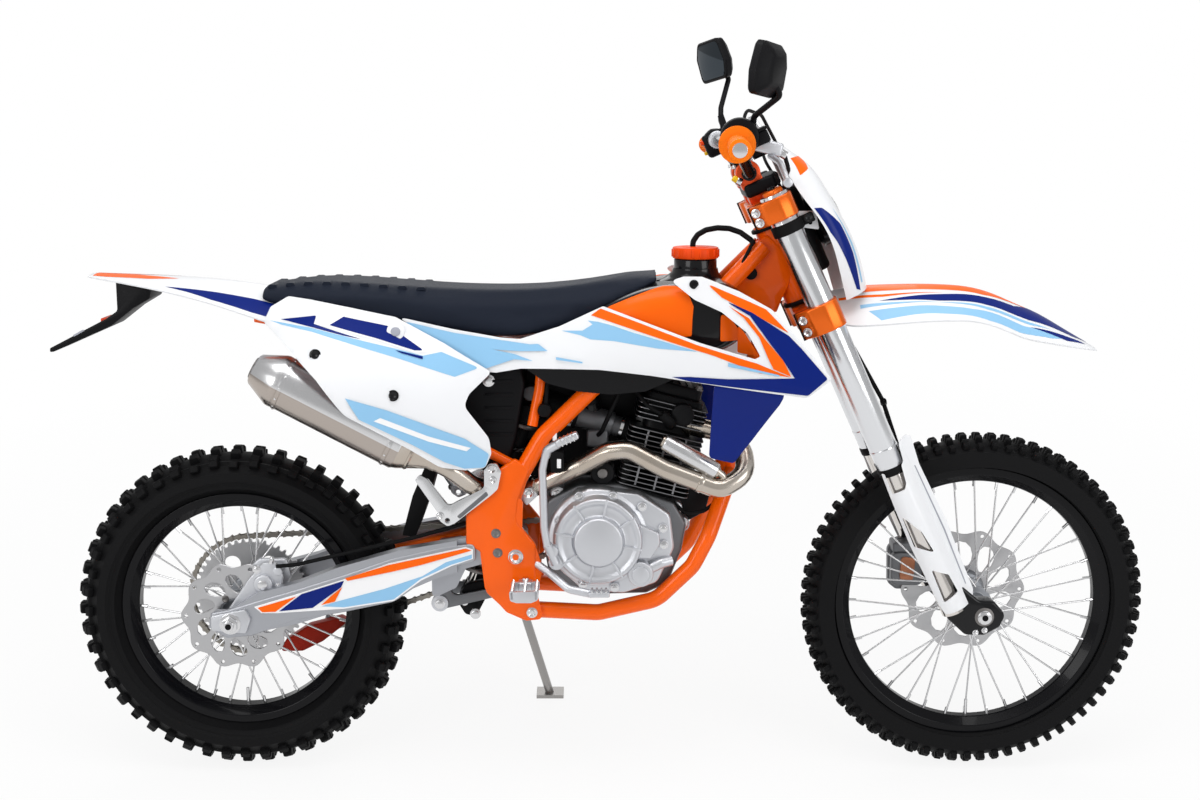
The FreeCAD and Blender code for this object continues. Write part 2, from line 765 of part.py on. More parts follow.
def clutch_cover_form():
    """The clutch cover: a raised round cap inside a ribbed ring, its rim and its bolt bosses."""
    x, z = 717, 504
    ring = turned_cover(x, z, -1, case_right, [(0, 0), (98, 0), (98, 40, 5), (86, 44, 3), (86, 64, 3), (80, 64, 2),
                                               (80, 56), (48, 56), (46, 70, 3), (0, 70)])
    rib = block(x + 44, x + 84, -case_right - 63, -case_right - 50, z - 2.5, z + 2.5)
    ribs = ring_of(rib, 8, Vector(x, 0, z))
    boss = disc(x + 93, z, -case_right - 48, -case_right - 20, 8)
    bosses = ring_of(boss, 6, Vector(x, 0, z))
    filler = disc(x + 104, z - 68, -case_right - 56, -case_right - 30, 22)
    small = block(x + 92, x + 128, -case_right - 48, -case_right - 30, z - 8, z + 44)
    kick_shaft = disc(kick_x, kick_z, -kick_y, -case_right - 20, 13)
    return fused([ring, front_housing(x, z, -1, case_right, 38), filler, small, kick_shaft] + ribs + bosses)


def generator_cover_form():
    """The generator cover on the left: a domed disc with six bolt bosses."""
    x, z = 742, 500
    dome = turned_cover(x, z, 1, case_left, [(0, 0), (86, 0), (86, 14, 5), (70, 24, 8), (52, 30, 2), (50, 38, 3),
                                             (0, 38)])
    bosses = ring_of(disc(x + 80, z, case_left + 2, case_left + 20, 8), 6, Vector(x, 0, z))
    return fused([dome, front_housing(x, z, 1, case_left, 18)] + bosses)


clutch_cover = clutch_cover_form()
generator_cover = generator_cover_form()
keep("engine_covers", clutch_cover, generator_cover)


def carburettor():
    """The carburettor between its inlet stub on the head and its hose to the airbox."""
    body = rod((676, 0, 728), (748, 0, 706), 27)
    inlet = rod((740, 0, 708), (820, 0, 684), 21)
    bowl = block(694, 738, -24, 24, 672, 715)
    top = rod((706, 0, 726), (700, 0, 772), 19)
    hose = tube([(684, 0, 726), (652, 16, 736), (600, 50, 752), (500, 50, 756)], 20, 30)
    return fused([body, inlet, bowl, top, hose])


keep("carburettor", carburettor().cut(nodes["cylinder"][0]))

# Exhaust

silencer_front = Vector(345, silencer_y, 690)
silencer_rear = Vector(66, silencer_y, 838)
silencer_way = unit(silencer_rear - silencer_front)
pipe_end = silencer_front - silencer_way * 60
header_points = [(890, -34, 712), (950, -52, 702), (1003, -68, 672), (1006, -106, 628), (955, -122, 600),
                 (850, -120, 640), (778, -112, 676), (738, -104, 670), (690, -84, 640), (616, -62, 602),
                 (560, -58, 580), (518, -64, 580), (474, -106, 604), tuple(pipe_end - silencer_way * 44), tuple(pipe_end)]


def header():
    return tube(header_points, header_r, 46)


exhaust_header = header().cut(nodes["cylinder"][0])
keep("exhaust_header", exhaust_header)


def silencer_body(grow=0.0):
    """A round can with a coned tail cap and a coned inlet."""
    axis = silencer_rear - silencer_front
    length = axis.Length
    can = Part.makeCylinder(silencer_r + grow, length - 52, silencer_front, axis)
    cap = Part.makeCone(silencer_r + grow, 30 + grow, 52, silencer_front + silencer_way * (length - 52), axis)
    inlet = Part.makeCone(21 + grow, silencer_r + grow, 60, silencer_front - silencer_way * 60, axis)
    return fused([can, cap, inlet])


def silencer():
    """The silencer with its outlet bore and the lug that hangs it from the frame's strut."""
    outlet = Part.makeCylinder(16, 70, silencer_rear - silencer_way * 60, silencer_rear - silencer_front)
    lug = rod((250, silencer_y + 20, 790), (250, -70, 838), 9)
    return fused([silencer_body(), lug.cut(rail_seat)]).cut(outlet)


keep("silencer", silencer())

# Bodywork

tank_tunnel = side_plate([(560, 700), (560, 838), (700, 850), (800, 905), (900, 985), (985, 1040), (985, 700)],
                         -100, 100)


def tank():
    """The fuel tank: wide shoulders over the spars, and a filler neck."""
    sections = [box_section(620, 60, 870, 905, 15), box_section(700, 105, 860, 940, 30),
                box_section(800, 132, 850, 985, 40), box_section(900, 138, 860, 1000, 40),
                box_section(985, 120, 885, 985, 30), box_section(1010, 90, 905, 960, 20)]
    body = Part.makeLoft(sections, True, False)
    neck = Part.makeCylinder(42, 70, Vector(910, 0, 966))
    return body.fuse(neck).cut(tank_tunnel).cut(headstock)


fuel_tank = tank()
keep("fuel_tank", fuel_tank)
keep("tank_cap", Part.makeCylinder(46, 24, Vector(910, 0, 1036)))


def seat_solid():
    """The seat pad as a plain soft solid."""
    sections = [box_section(70, 78, 962, 984, 10), box_section(160, 100, 945, 993, 20),
                box_section(330, 108, 925, 987, 24), box_section(500, 100, 896, 978, 28),
                box_section(610, 96, 900, 980, 28), box_section(720, 92, 942, 993, 22),
                box_section(835, 70, 1003, 1017, 6)]
    return Part.makeLoft(sections, True, True)


seat = seat_solid().cut(fuel_tank)
keep("seat", seat)

shroud_outline = [(440, 905, 10), (571, 893, 20), (647, 918, 30), (745, 948, 6), (798, 926, 10), (910, 888, 20),
                  (1016, 860, 4), (1026, 869, 4), (994, 926, 30), (932, 973, 30), (862, 1006, 6), (899, 1014, 12),
                  (936, 1014, 12), (983, 992, 30), (1039, 955, 60), (1089, 908, 60), (1156, 823, 6),
                  (1110, 792, 20), (948, 813, 60), (723, 838, 60), (573, 838, 30), (526, 830, 6)]
shroud_sections = [(420, [(-116, 1050), (-120, 920), (-126, 840), (-126, 760)]),
                   (600, [(-106, 1050), (-116, 920), (-130, 850), (-126, 760)]),
                   (800, [(-122, 1050), (-146, 950), (-158, 870), (-150, 760)]),
                   (1000, [(-140, 1050), (-168, 960), (-184, 870), (-180, 760)]),
                   (1170, [(-160, 1050), (-180, 920), (-192, 830), (-190, 760)])]


def stay(x, z, inner_y, sections, radius=8):
    """A moulded stay from a panel's inner face towards what carries it."""
    pin = disc(x, z, -230, inner_y, radius)
    return behind(pin, sections, skin / 2)


def shroud():
    """A tank shroud with the two stays that seat on the tank's side."""
    moved_tank = fuel_tank.copy()
    moved_tank.translate(Vector(0, -seat_gap, 0))
    seated = []
    for x, z in ((770, 896), (968, 964)):
        cut_stay = stay(x, z, -100, shroud_sections).cut(moved_tank)
        seated.append(max(cut_stay.Solids, key=lambda solid: solid.Volume))
    return fused([moulded_panel(shroud_outline, shroud_sections, skin)] + seated)


keep("shrouds", *both(shroud()))

scoop_outline = [(935, 826, 6), (1071, 812, 10), (1071, 790, 6), (1017, 743, 30), (1009, 665, 12), (929, 665, 12)]
scoop_sections = [(900, [(-180, 850), (-154, 760), (-144, 640)]), (1000, [(-204, 850), (-166, 760), (-148, 640)]),
                  (1100, [(-212, 850), (-178, 760), (-156, 640)])]


def scoop():
    """The lower scoop, its top edge tucked behind the shroud."""
    return behind(moulded_panel(scoop_outline, scoop_sections, skin), shroud_sections, skin + seat_gap)


keep("lower_scoops", *both(scoop()))

panel_outline = [(99, 912, 10), (150, 966, 20), (344, 930, 60), (430, 900, 10), (520, 834, 10), (476, 793, 20),
                 (466, 758, 20), (513, 700, 30), (523, 647, 16), (492, 616, 16), (454, 616, 30), (339, 647, 60),
                 (282, 680, 40), (245, 719, 60), (200, 797, 60), (155, 870, 60)]
panel_sections = [(80, [(-100, 1000), (-110, 940), (-120, 880), (-122, 740), (-122, 590)]),
                  (160, [(-104, 1000), (-132, 930), (-176, 850), (-186, 720), (-186, 590)]),
                  (300, [(-110, 1000), (-128, 940), (-176, 850), (-190, 740), (-186, 590)]),
                  (420, [(-112, 1000), (-122, 920), (-152, 850), (-170, 740), (-160, 590)]),
                  (540, [(-116, 1000), (-122, 910), (-128, 840), (-136, 740), (-136, 590)])]


def side_panel():
    """A side panel with its stays to the seat rail and the strut."""
    pins = [stay(338, 886, -60, panel_sections), stay(206, 873, -60, panel_sections), stay(430, 708, -60, panel_sections)]
    seated = []
    for pin in pins:
        outer = max(pin.cut(rail_seat).Solids, key=lambda solid: -solid.BoundBox.YMin)
        seated.append(outer)
    return fused([moulded_panel(panel_outline, panel_sections, skin)] + seated)


keep("side_panels", *both(side_panel()))


def tail():
    """The rear mudguard: an arched band that narrows to its tip."""
    sections = [arch_section(-271, 34, 1008, 3, guard_thick), arch_section(-140, 78, 1000, 14, guard_thick),
                arch_section(-20, 98, 988, 34, guard_thick), arch_section(70, 108, 960, 60, guard_thick),
                arch_section(140, 112, 950, 60, guard_thick)]
    return Part.makeLoft(sections, True, True)


keep("rear_fender", tail().cut(fused_tool([seat, rear_frame])))


def plate_holder():
    """The bracket that hangs below the tail for the plate."""
    arm = side_plate([(-216, 1010), (-214, 934, 8), (-236, 918, 8), (plate_tip_x + 3, 862), (plate_tip_x, 856),
                      (plate_tip_x + 6, 855), (-228, 908, 10), (-186, 944, 10), (-140, 966, 4), (-140, 1010)], -45, 45)
    lowered = tail()
    lowered.translate(Vector(0, 0, -seat_gap))
    return max(arm.cut(lowered).Solids, key=lambda solid: solid.Volume)


keep("plate_holder", plate_holder())


def airbox():
    body = side_plate([(330, 860, 20), (500, 838, 10), (508, 760, 10), (470, 640, 16), (420, 630, 20),
                       (350, 720, 40)], -62, 62)
    tab = disc(430, 708, -80, 80, 12)
    return fused([body, tab]).cut(rail_seat).cut(fused_tool([rear_shock, seat, nodes["carburettor"][0]])).Solids[0]


def mud_flap():
    """The flexible flap between wheel and shock."""
    return side_plate([(398, 690, 3), (352, 560, 20), (338, 490, 3), (344, 489, 3), (358, 556, 20), (410, 690, 3)],
                      -48, 48)


keep("airbox", airbox().fuse(mud_flap()))

# Steering

def clamp(level, height):
    """A triple clamp drawn in the steering frame."""
    side = [(-26, -36, 12), (-14, -fork_y + 46, 10), (-30, -fork_y + 24, 10), (-30, -fork_y - 8, 14),
            (fork_offset, -fork_y - 40, 40), (56, -fork_y, 24)]
    other = [(x, -y, r) for x, y, r in reversed(side)]
    return top_plate(side + [(40, 0, 40)] + other, level, level + height)


upper_clamp_low = -clamp_height / 2
leg_holes = [Part.makeCylinder(fork_outer_r, 1200, Vector(fork_offset, side * fork_y, -1000)) for side in (-1, 1)]


def triple_clamps():
    """Both clamps and the stem that joins them through the head tube."""
    upper = clamp(upper_clamp_low, clamp_height)
    lower = clamp(lower_clamp_level, lower_clamp_height)
    stem = Part.makeCylinder(stem_r, upper_clamp_low + clamp_height - lower_clamp_level + 6,
                             Vector(0, 0, lower_clamp_level))
    nut = Part.makeCylinder(20, 10, Vector(0, 0, upper_clamp_low + clamp_height))
    risers = [Part.makeBox(36, 28, bar_level - bar_r - clamp_height / 2 + 8,
                           Vector(-18, side * 46 - 14, clamp_height / 2)) for side in (-1, 1)]
    caps = [Part.makeCylinder(bar_r + 9, 28, Vector(0, side * 46 - 14, bar_level), Y_AXIS) for side in (-1, 1)]
    whole = fused([upper, lower, stem, nut] + risers + caps)
    whole = whole.cut(fused_tool(leg_holes))
    return whole.cut(Part.makeCylinder(bar_r, 200, Vector(0, -100, bar_level), Y_AXIS))


keep_steering("triple_clamps", triple_clamps())

fork_top = clamp_height / 2 + 8
fork_outer_bottom = -520.0


def fork_uppers():
    legs = []
    for side in (-1, 1):
        legs.append(Part.makeCylinder(fork_outer_r, fork_top - fork_outer_bottom,
                                      Vector(fork_offset, side * fork_y, fork_outer_bottom)))
    return legs


keep_steering("fork_uppers", *fork_uppers())


def fork_lowers():
    """Inner tubes with the cast axle lugs at their feet."""
    legs = []
    for side in (-1, 1):
        inner = Part.makeCylinder(fork_inner_r, fork_outer_bottom - axle_level, Vector(fork_offset, side * fork_y, axle_level))
        low, high = sorted((side * (fork_y - 24), side * (fork_y + 18)))
        lug_points = [Vector(-4, low, axle_level + 70), Vector(fork_offset + 28, low, axle_level + 70),
                      Vector(axle_forward + 30, low, axle_level + 24), Vector(axle_forward + 30, low, axle_level - 24),
                      Vector(axle_forward - 20, low, axle_level - 34), Vector(fork_offset - 26, low, axle_level - 10)]
        face = Part.Face(Part.Wire(rounded_edges(lug_points, [14, 14, 24, 24, 14, 20], closed=True)))
        lug = face.extrude(Vector(0, high - low, 0))
        legs.append(inner.fuse(lug))
    hole = Part.makeCylinder(axle_r, 400, Vector(axle_forward, -200, axle_level), Y_AXIS)
    return [leg.cut(hole) for leg in legs]


lowers = fork_lowers()
keep_steering("fork_lowers", *lowers)


def front_axle_piece():
    shaft = Part.makeCylinder(axle_r, 2 * fork_y + 31, Vector(axle_forward, -fork_y - 18, axle_level), Y_AXIS)
    bolt = Part.makeCylinder(14, 5, Vector(axle_forward, -fork_y - 23, axle_level), Y_AXIS)
    spacers = [Part.makeCylinder(14, fork_y - 24 - 58.3, Vector(axle_forward, 58.3, axle_level), Y_AXIS),
               Part.makeCylinder(14, fork_y - 24 - 58.3, Vector(axle_forward, -fork_y + 24, axle_level), Y_AXIS)]
    hollow = Part.makeCylinder(axle_bore_r, 400, Vector(axle_forward, -200, axle_level), Y_AXIS)
    return fused([shaft, bolt] + spacers).cut(hollow)


keep_steering("front_axle", front_axle_piece())


def fork_guard(side):
    """The white guard that wraps the outer front of the lower leg."""
    outline = [(-14, fork_outer_bottom - 6, 4), (12, fork_outer_bottom + 66, 6), (62, fork_outer_bottom + 30, 20),
               (62, axle_level + 150, 30), (axle_forward + 22, axle_level + 62, 14), (fork_offset + 14, axle_level + 40, 14),
               (-14, axle_level + 100, 20)]
    points = [Vector(p[0], 0, p[1]) for p in outline]
    face = Part.Face(Part.Wire(rounded_edges(points, [p[2] for p in outline], closed=True)))
    slab = face.extrude(Vector(0, 90, 0))
    slab.translate(Vector(0, side * fork_y - 45, 0))
    leg = Vector(fork_offset, side * fork_y, axle_level)
    outer = Part.makeCylinder(fork_outer_r + 7, 600, leg)
    hollow = Part.makeCylinder(fork_outer_r + 4, 600, leg)
    shell = outer.cut(hollow).common(slab)
    inner_half = Part.makeBox(200, 60, 700, Vector(-100, side * fork_y - (60 if side > 0 else 0), axle_level - 50))
    shell = shell.cut(inner_half)
    return shell


keep_steering("fork_guards", *[fork_guard(side).cut(lower) for side, lower in zip((-1, 1), lowers)])


def handlebar():
    """A wide tapered bar: level between the risers, rising to the grips."""
    half = [(0, 0, bar_level), (0, 90, bar_level), (-6, rise_y - 60, 140), (-10, rise_y, 150),
            (bar_end.x, bar_half, bar_end.z)]
    bar = [(x, -y, z) for x, y, z in reversed(half[1:])] + half
    return tube(bar[:4] + bar[5:], bar_r - 3.3, 50)


def handlebar_pieces():
    centre = Part.makeCylinder(bar_r, 160, Vector(0, -80, bar_level), Y_AXIS)
    return centre.fuse(handlebar())


bar_shape = handlebar_pieces()
keep_steering("handlebar", bar_shape)


def grip(side):
    """A rubber grip with its wide inner flange."""
    inner_end = Vector(-10, side * rise_y, 150)
    outer_end = Vector(bar_end.x, side * bar_half, bar_end.z)
    way = unit(outer_end - inner_end)
    start = outer_end - way * (grip_length - 3)
    sleeve = Part.makeCylinder(grip_r, grip_length, start, way)
    flange = Part.makeCylinder(grip_flange_r, 5, start, way)
    return sleeve.fuse(flange).cut(bar_shape)


keep_steering("grips", grip(-1), grip(1))


def lever_set(side):
    """The perch, its reservoir or cable end, and the lever blade."""
    inner_end = Vector(-10, side * rise_y, 150)
    outer_end = Vector(bar_end.x, side * bar_half, bar_end.z)
    way = unit(outer_end - inner_end)
    perch = Part.makeCylinder(17, 24, inner_end + way * 12, way)
    arm = Part.makeBox(52, 22, 16, Vector(-4, side * (rise_y + 16) - 11, 136))
    blade = tube([(38, side * (rise_y + 10), 140), (46, side * (rise_y + 70), 136), (30, side * (bar_half - 10), 134)],
                 6, 40)
    return fused([perch, arm, blade]).cut(bar_shape)


keep_steering("control_levers", lever_set(-1), lever_set(1))

mirror_y = bar_half - 75
mirror_outline = [(26, -44), (40, -10), (36, 26), (14, 50), (-8, 48), (-16, 10), (-12, -40)]


def mirror(side, foot, neck, middle):
    """A mirror: its stalk from the perch, and a head that narrows to both sides."""
    stalk = tube([(14, side * (rise_y + 20), 150), (foot[0], side * (rise_y + 26), foot[1]),
                  (neck[0], side * (mirror_y - 20), neck[1]), (middle[0] + 6, side * mirror_y, middle[1])], 5, 14)
    sections = []
    for shift, share in ((-56, 0.55), (-38, 1.0), (34, 1.0), (58, 0.6)):
        points = [Vector(middle[0] + x * share, side * mirror_y + shift, middle[1] + z * share)
                  for x, z in mirror_outline]
        sections.append(Part.Wire(rounded_edges(points, [8] * len(points), closed=True)))
    return stalk.fuse(Part.makeLoft(sections, True, True))


mirror_pair = [mirror(-1, (20, 168), (56, 196), (82, 247)), mirror(1, (8, 178), (24, 230), (62, 287))]
keep_steering("mirrors", *[mirror_pair[0].cut(fused_tool([bar_shape, lever_set(-1)])),
                           mirror_pair[1].cut(fused_tool([bar_shape, lever_set(1)]))])


def front_fender():
    """The high front mudguard, drawn with the bike upright, then handed to the steering."""
    sections = [arch_section(1150, 66, 962, 14, 4), arch_section(1262, 72, 978, 22, 4),
                arch_section(1290, 100, 980, 52, 4), arch_section(1390, 98, 976, 56, 4),
                arch_section(1521, 84, 921, 34, 4), arch_section(1632, 64, 881, 12, 4),
                arch_section(1694, 44, 865, 3, 4)]
    return Part.makeLoft(sections, True, True)


leg_clear = []
for leg_side in (-1, 1):
    leg_hole = Part.makeCylinder(fork_outer_r + 1, 1200, Vector(fork_offset, leg_side * fork_y, -1000))
    leg_hole.Placement = steering_frame
    leg_clear.append(leg_hole)
keep("front_fender", front_fender().cut(fused_tool(leg_clear)).cut(nodes["triple_clamps"][0]))


lamp_level = -60.0
lamp_r = 52.0
strap_low = -50.0
strap_high = -22.0
mask_levels = [(142, 62, 52, 56), (90, 90, 68, 84), (30, 117, 73, 106), (-60, 134, 72, 111),
               (-130, 134, 84, 104), (-220, 118, 74, 84)]


def mask_form(inset, open_back):
    """The mask's outer form across the steering frame, or a smaller one to hollow it."""
    sections = []
    for level, front, back, half in mask_levels:
        curve = Part.BSplineCurve()
        side = half - inset
        shoulder = back + 0.72 * (front - back) - inset
        curve.interpolate([Vector(back, -side, level), Vector(shoulder, -side * 0.62, level),
                           Vector(front - inset, 0, level), Vector(shoulder, side * 0.62, level),
                           Vector(back, side, level)])
        run = [Vector(back, side, level), Vector(back - open_back, side, level),
               Vector(back - open_back, -side, level), Vector(back, -side, level)]
        edges = [curve.toShape()]
        for start, end in zip(run, run[1:]):
            if (end - start).Length > 0.01:
                edges.append(Part.LineSegment(start, end).toShape())
        sections.append(Part.Wire(edges))
    return Part.makeLoft(sections, True, False)


def mask_strap(side):
    """The band round an outer fork tube that holds the mask, with its tongue to the mask's edge."""
    height = strap_high - strap_low
    foot = Vector(fork_offset, side * fork_y, strap_low)
    band = Part.makeCylinder(fork_outer_r + seat_gap + skin, height, foot)
    low, high = sorted((side * (fork_y - 2), side * (fork_y + 3)))
    tongue = Part.makeBox(34, high - low, height, Vector(fork_offset + fork_outer_r, low, strap_low))
    return fused([band, tongue]).cut(Part.makeCylinder(fork_outer_r + seat_gap, height, foot))


def headlight_mask():
    """The mask as a shell, open behind, with the lamp's opening, its side pins and its straps."""
    outer = mask_form(0.0, 0.0)
    shell = outer.cut(mask_form(skin, 60.0))
    opening = Part.makeCylinder(lamp_r + 4, 200, Vector(60, 0, lamp_level), Vector(1, 0, 0))
    pins = []
    for side in (-1, 1):
        low, high = sorted((side * (lamp_r + seat_gap), side * 110))
        pin = Part.makeCylinder(5, high - low, Vector(100, low, lamp_level), Y_AXIS)
        pins.append(pin.common(outer))
    return fused([shell.cut(opening)] + pins + [mask_strap(-1), mask_strap(1)])


def headlamp():
    """A round lamp with a domed lens that stands in the mask's opening."""
    ahead = Vector(1, 0, 0)
    reflector = Part.makeCone(30, lamp_r, 24, Vector(64, 0, lamp_level), ahead)
    rim_ring = Part.makeCylinder(lamp_r, 34, Vector(88, 0, lamp_level), ahead)
    dome = 12.0
    dome_r = (lamp_r ** 2 + dome ** 2) / (2 * dome)
    lens = Part.makeSphere(dome_r, Vector(122 + dome - dome_r, 0, lamp_level))
    lens = lens.common(Part.makeCylinder(lamp_r, 2 * dome, Vector(121, 0, lamp_level), ahead))
    return fused([reflector, rim_ring, lens])


keep_steering("headlight_mask", headlight_mask())
keep_steering("headlamp", headlamp())


def calliper(centre_x, centre_z, disc_y, width, length, height):
    """A brake calliper that straddles its disc."""
    back = centre_x - length / 2
    front = centre_x + length / 2
    low = centre_z - height / 2
    high = centre_z + height / 2
    body = side_plate([(back, low + 14, 12), (back, high - 20, 14), (back + 16, high, 10), (front - 10, high, 10),
                       (front, high - 16, 10), (front, low + 10, 10), (front - 12, low, 10), (back + 12, low, 10)],
                      disc_y - width / 2, disc_y + width / 2)
    pistons = [disc(centre_x - 4, centre_z + shift, disc_y + side * width / 2 - 6, disc_y + side * width / 2 + 6,
                    min(length, height) * 0.28) for shift in (-height * 0.2, height * 0.2) for side in (-1, 1)]
    return fused([body] + pistons)


front_slot = disc(wheelbase, front_tyre_r, front_disc_y - disc_thick / 2 - disc_gap,
                  front_disc_y + disc_thick / 2 + disc_gap, front_disc_r + 5)
front_calliper = calliper(1352, 395, front_disc_y, 52, 66, 110).cut(front_slot)
legs_placed = [solid.copy() for solid in nodes["fork_lowers"]]
keep("front_calliper", front_calliper.cut(fused_tool(legs_placed + nodes["fork_guards"])))
rear_slot = disc(0, rear_tyre_r, rear_disc_y - disc_thick / 2 - disc_gap, rear_disc_y + disc_thick / 2 + disc_gap,
                 rear_disc_r + 5)
rear_body = side_plate([(30, rear_tyre_r + 52, 10), (34, rear_tyre_r + 112, 12), (96, rear_tyre_r + 115, 14),
                        (110, rear_tyre_r + 96, 10), (108, rear_tyre_r + 46, 10), (60, rear_tyre_r + 43, 12)],
                       -swingarm_inner, -52)
keep("rear_calliper", rear_body.cut(rear_slot))

# Controls and stand

plate_face = plate_y + plate_thick


def footpeg(side):
    """An open platform on a neck that seats on the pivot plate."""
    low, high = sorted((side * 136, side * 205))
    platform = block(552, 604, low, high, 404, 424)
    windows = [block(559, 575, low + 8, high - 8, 400, 430), block(581, 597, low + 8, high - 8, 400, 430)]
    low, high = sorted((side * (plate_face + seat_gap), side * 137))
    neck = block(564, 590, low, high, 406, 422)
    return fused([platform.cut(fused_tool(windows)), neck])


keep("footpegs", footpeg(-1), footpeg(1))


def kick_lever():
    """The kick lever, its boss seated on the end of its shaft in the clutch cover."""
    boss = disc(kick_x, kick_z, -kick_y - 18, -kick_y - seat_gap, 15)
    arm = tube([(kick_x, -kick_y - 14, kick_z), (622, -158, 505), (615, -162, 568), (620, -166, 622), (620, -172, 676),
                (640, -184, 702), (682, -196, 722)], 7, 30)
    return fused([boss, arm]).cut(clutch_cover)


def brake_pedal():
    boss = disc(594, 446, -plate_y + seat_gap, -92, 12)
    arm = tube([(594, -98, 446), (612, -100, 430), (640, -138, 414), (690, -156, 403), (744, -158, 410)], 7, 24)
    tread = block(704, 744, -172, -146, 403, 413)
    return fused([boss, arm, tread]).cut(clutch_cover)


def gear_lever():
    shaft = disc(690, 424, case_left, 142, 7)
    arm = tube([(690, 136, 424), (740, 148, 420), (812, 150, 424)], 7, 24)
    toe = disc(812, 424, 146, 182, 9)
    return fused([shaft, arm, toe])


keep("foot_controls", kick_lever(), brake_pedal(), gear_lever().cut(generator_cover))


def peg_bracket(side, carried):
    """The passenger's peg bracket: a bent plate with the hole for a peg's pin at its corner."""
    low, high = sorted((side * (plate_face + seat_gap), side * (plate_face + seat_gap + 8)))
    plate = side_plate([(503, 640, 8), (525, 640, 8), (530, 590, 20), (505, 556, 20), (430, 510, 10), (410, 522, 8),
                        (330, 638, 6), (346, 648, 6), (436, 545, 8), (494, 577, 16)], low, high)
    pin_hole = disc(peg_hole_x, peg_hole_z, low - 1, high + 1, peg_hole_r)
    return plate.cut(pin_hole).cut(carried)


keep("rear_peg_brackets", peg_bracket(1, mirrored(silencer_body(seat_gap))), peg_bracket(-1, silencer_body(seat_gap)))

foot_floor = Vector(stand_foot_x, stand_foot_y, stand_foot_y * sin_lean / cos_lean)
stand_down = unit(foot_floor - stand_pivot)
stand_back = unit(Vector(-0.985, 0.10, 0.14))
stand_axis = unit(stand_down.cross(stand_back))
stand_reach = (foot_floor - stand_pivot).Length
stand_eye_h = 14.0
stand_bolt_r = 5.0


def on_axis(point, distance):
    return point + stand_axis * distance


def side_stand():
    """Eye, leg and a flat foot that lies on the ground when the bike leans on it."""
    eye = Part.makeCylinder(14, stand_eye_h, on_axis(stand_pivot, -stand_eye_h / 2), stand_axis)
    neck = Part.makeBox(22, 20, stand_eye_h - 1, Vector(0, -10, 0.5 - stand_eye_h / 2))
    neck.Placement = Placement(stand_pivot, Rotation(stand_down, stand_axis.cross(stand_down), stand_axis, "XYZ"))
    leg = Part.makeCylinder(stand_leg_r, stand_reach - 26, stand_pivot + stand_down * 20, stand_down)
    foot = Part.makeBox(60, 40, 8, Vector(stand_foot_x - 30, -20, 0))
    foot.rotate(Vector(0, 0, 0), Vector(1, 0, 0), lean_angle)
    foot.translate(Vector(0, foot_floor.y, foot_floor.z))
    lift = Vector(0, -sin_lean, cos_lean) * -origin_lift
    foot.translate(lift)
    bolt = Part.makeCylinder(stand_bolt_r + running_clearance, 60, on_axis(stand_pivot, -30), stand_axis)
    return fused([eye, neck, leg, foot]).cut(bolt)


keep("side_stand", side_stand())


def stand_bracket():
    """Clevis ears with their pivot bolt, on a web welded to the pivot plate."""
    gap = stand_eye_h / 2 + 0.5
    ear_t = 5.0
    away = unit(stand_down + stand_back) * -1.0
    turn = Rotation(away, stand_axis.cross(away), stand_axis, "XYZ")
    pieces = [Part.makeCylinder(stand_bolt_r, 2 * (gap + ear_t) + 6, on_axis(stand_pivot, -gap - ear_t - 3), stand_axis)]
    for base in (gap, -gap - ear_t):
        pieces.append(Part.makeCylinder(14, ear_t, on_axis(stand_pivot, base), stand_axis))
        arm = Part.makeBox(40, 24, ear_t, Vector(0, -12, base))
        arm.Placement = Placement(stand_pivot, turn)
        pieces.append(arm)
    web = Part.makeBox(12, 24, 2 * gap + 2 * ear_t, Vector(28, -12, -gap - ear_t))
    web.Placement = Placement(stand_pivot, turn)
    return fused(pieces + [web])


keep("frame_pivot_plates", pivot_plates().fuse(stand_bracket().cut(cradles)))

# Export

os.makedirs("parts", exist_ok=True)
parked = lean_placement()
for name, solids in nodes.items():
    placed = []
    for solid in solids:
        solid = solid.copy()
        solid.Placement = parked.multiply(solid.Placement)
        placed.append(solid)
    whole = placed[0] if len(placed) == 1 else Part.makeCompound(placed)
    whole.exportStep("parts/" + name + ".step")
    print(name, len(whole.Solids), whole.isValid(), round(whole.Volume / 1000.0, 1))
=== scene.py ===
"""The looks of an enduro dirt bike that leans on its side stand.

Lengths are millimetres in frames that follow the joints. In the bike's own frame it stands upright,
with X forward from the rear axle, Y to the rider's left and Z up from the ground. In the steering
frame Z runs up the steering axis and X points ahead.
"""
import json
import math

import bmesh
import bpy
from mathutils import Matrix, Vector


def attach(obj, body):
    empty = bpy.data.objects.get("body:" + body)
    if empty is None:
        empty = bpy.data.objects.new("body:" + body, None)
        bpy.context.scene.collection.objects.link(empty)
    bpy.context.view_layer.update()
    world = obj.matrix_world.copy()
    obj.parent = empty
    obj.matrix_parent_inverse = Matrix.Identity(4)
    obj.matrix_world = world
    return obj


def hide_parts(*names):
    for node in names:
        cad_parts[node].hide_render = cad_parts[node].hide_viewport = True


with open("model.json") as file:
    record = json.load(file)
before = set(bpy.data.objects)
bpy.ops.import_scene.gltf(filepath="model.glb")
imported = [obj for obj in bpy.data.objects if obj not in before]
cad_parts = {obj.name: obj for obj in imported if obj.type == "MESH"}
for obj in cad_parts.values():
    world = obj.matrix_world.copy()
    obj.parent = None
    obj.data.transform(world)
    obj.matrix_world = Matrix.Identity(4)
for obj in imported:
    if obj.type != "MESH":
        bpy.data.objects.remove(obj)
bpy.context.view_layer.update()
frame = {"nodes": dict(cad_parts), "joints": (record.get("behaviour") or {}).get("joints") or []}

# Frames

MM = 0.001
rear_tyre_r = 332.0
front_tyre_r = 345.0
joints = {joint["name"]: joint for joint in frame["joints"]}
ahead = Vector((1, 0, 0))
across = Vector(joints["rear_wheel_spin"]["axis"]).normalized()
upward = ahead.cross(across)


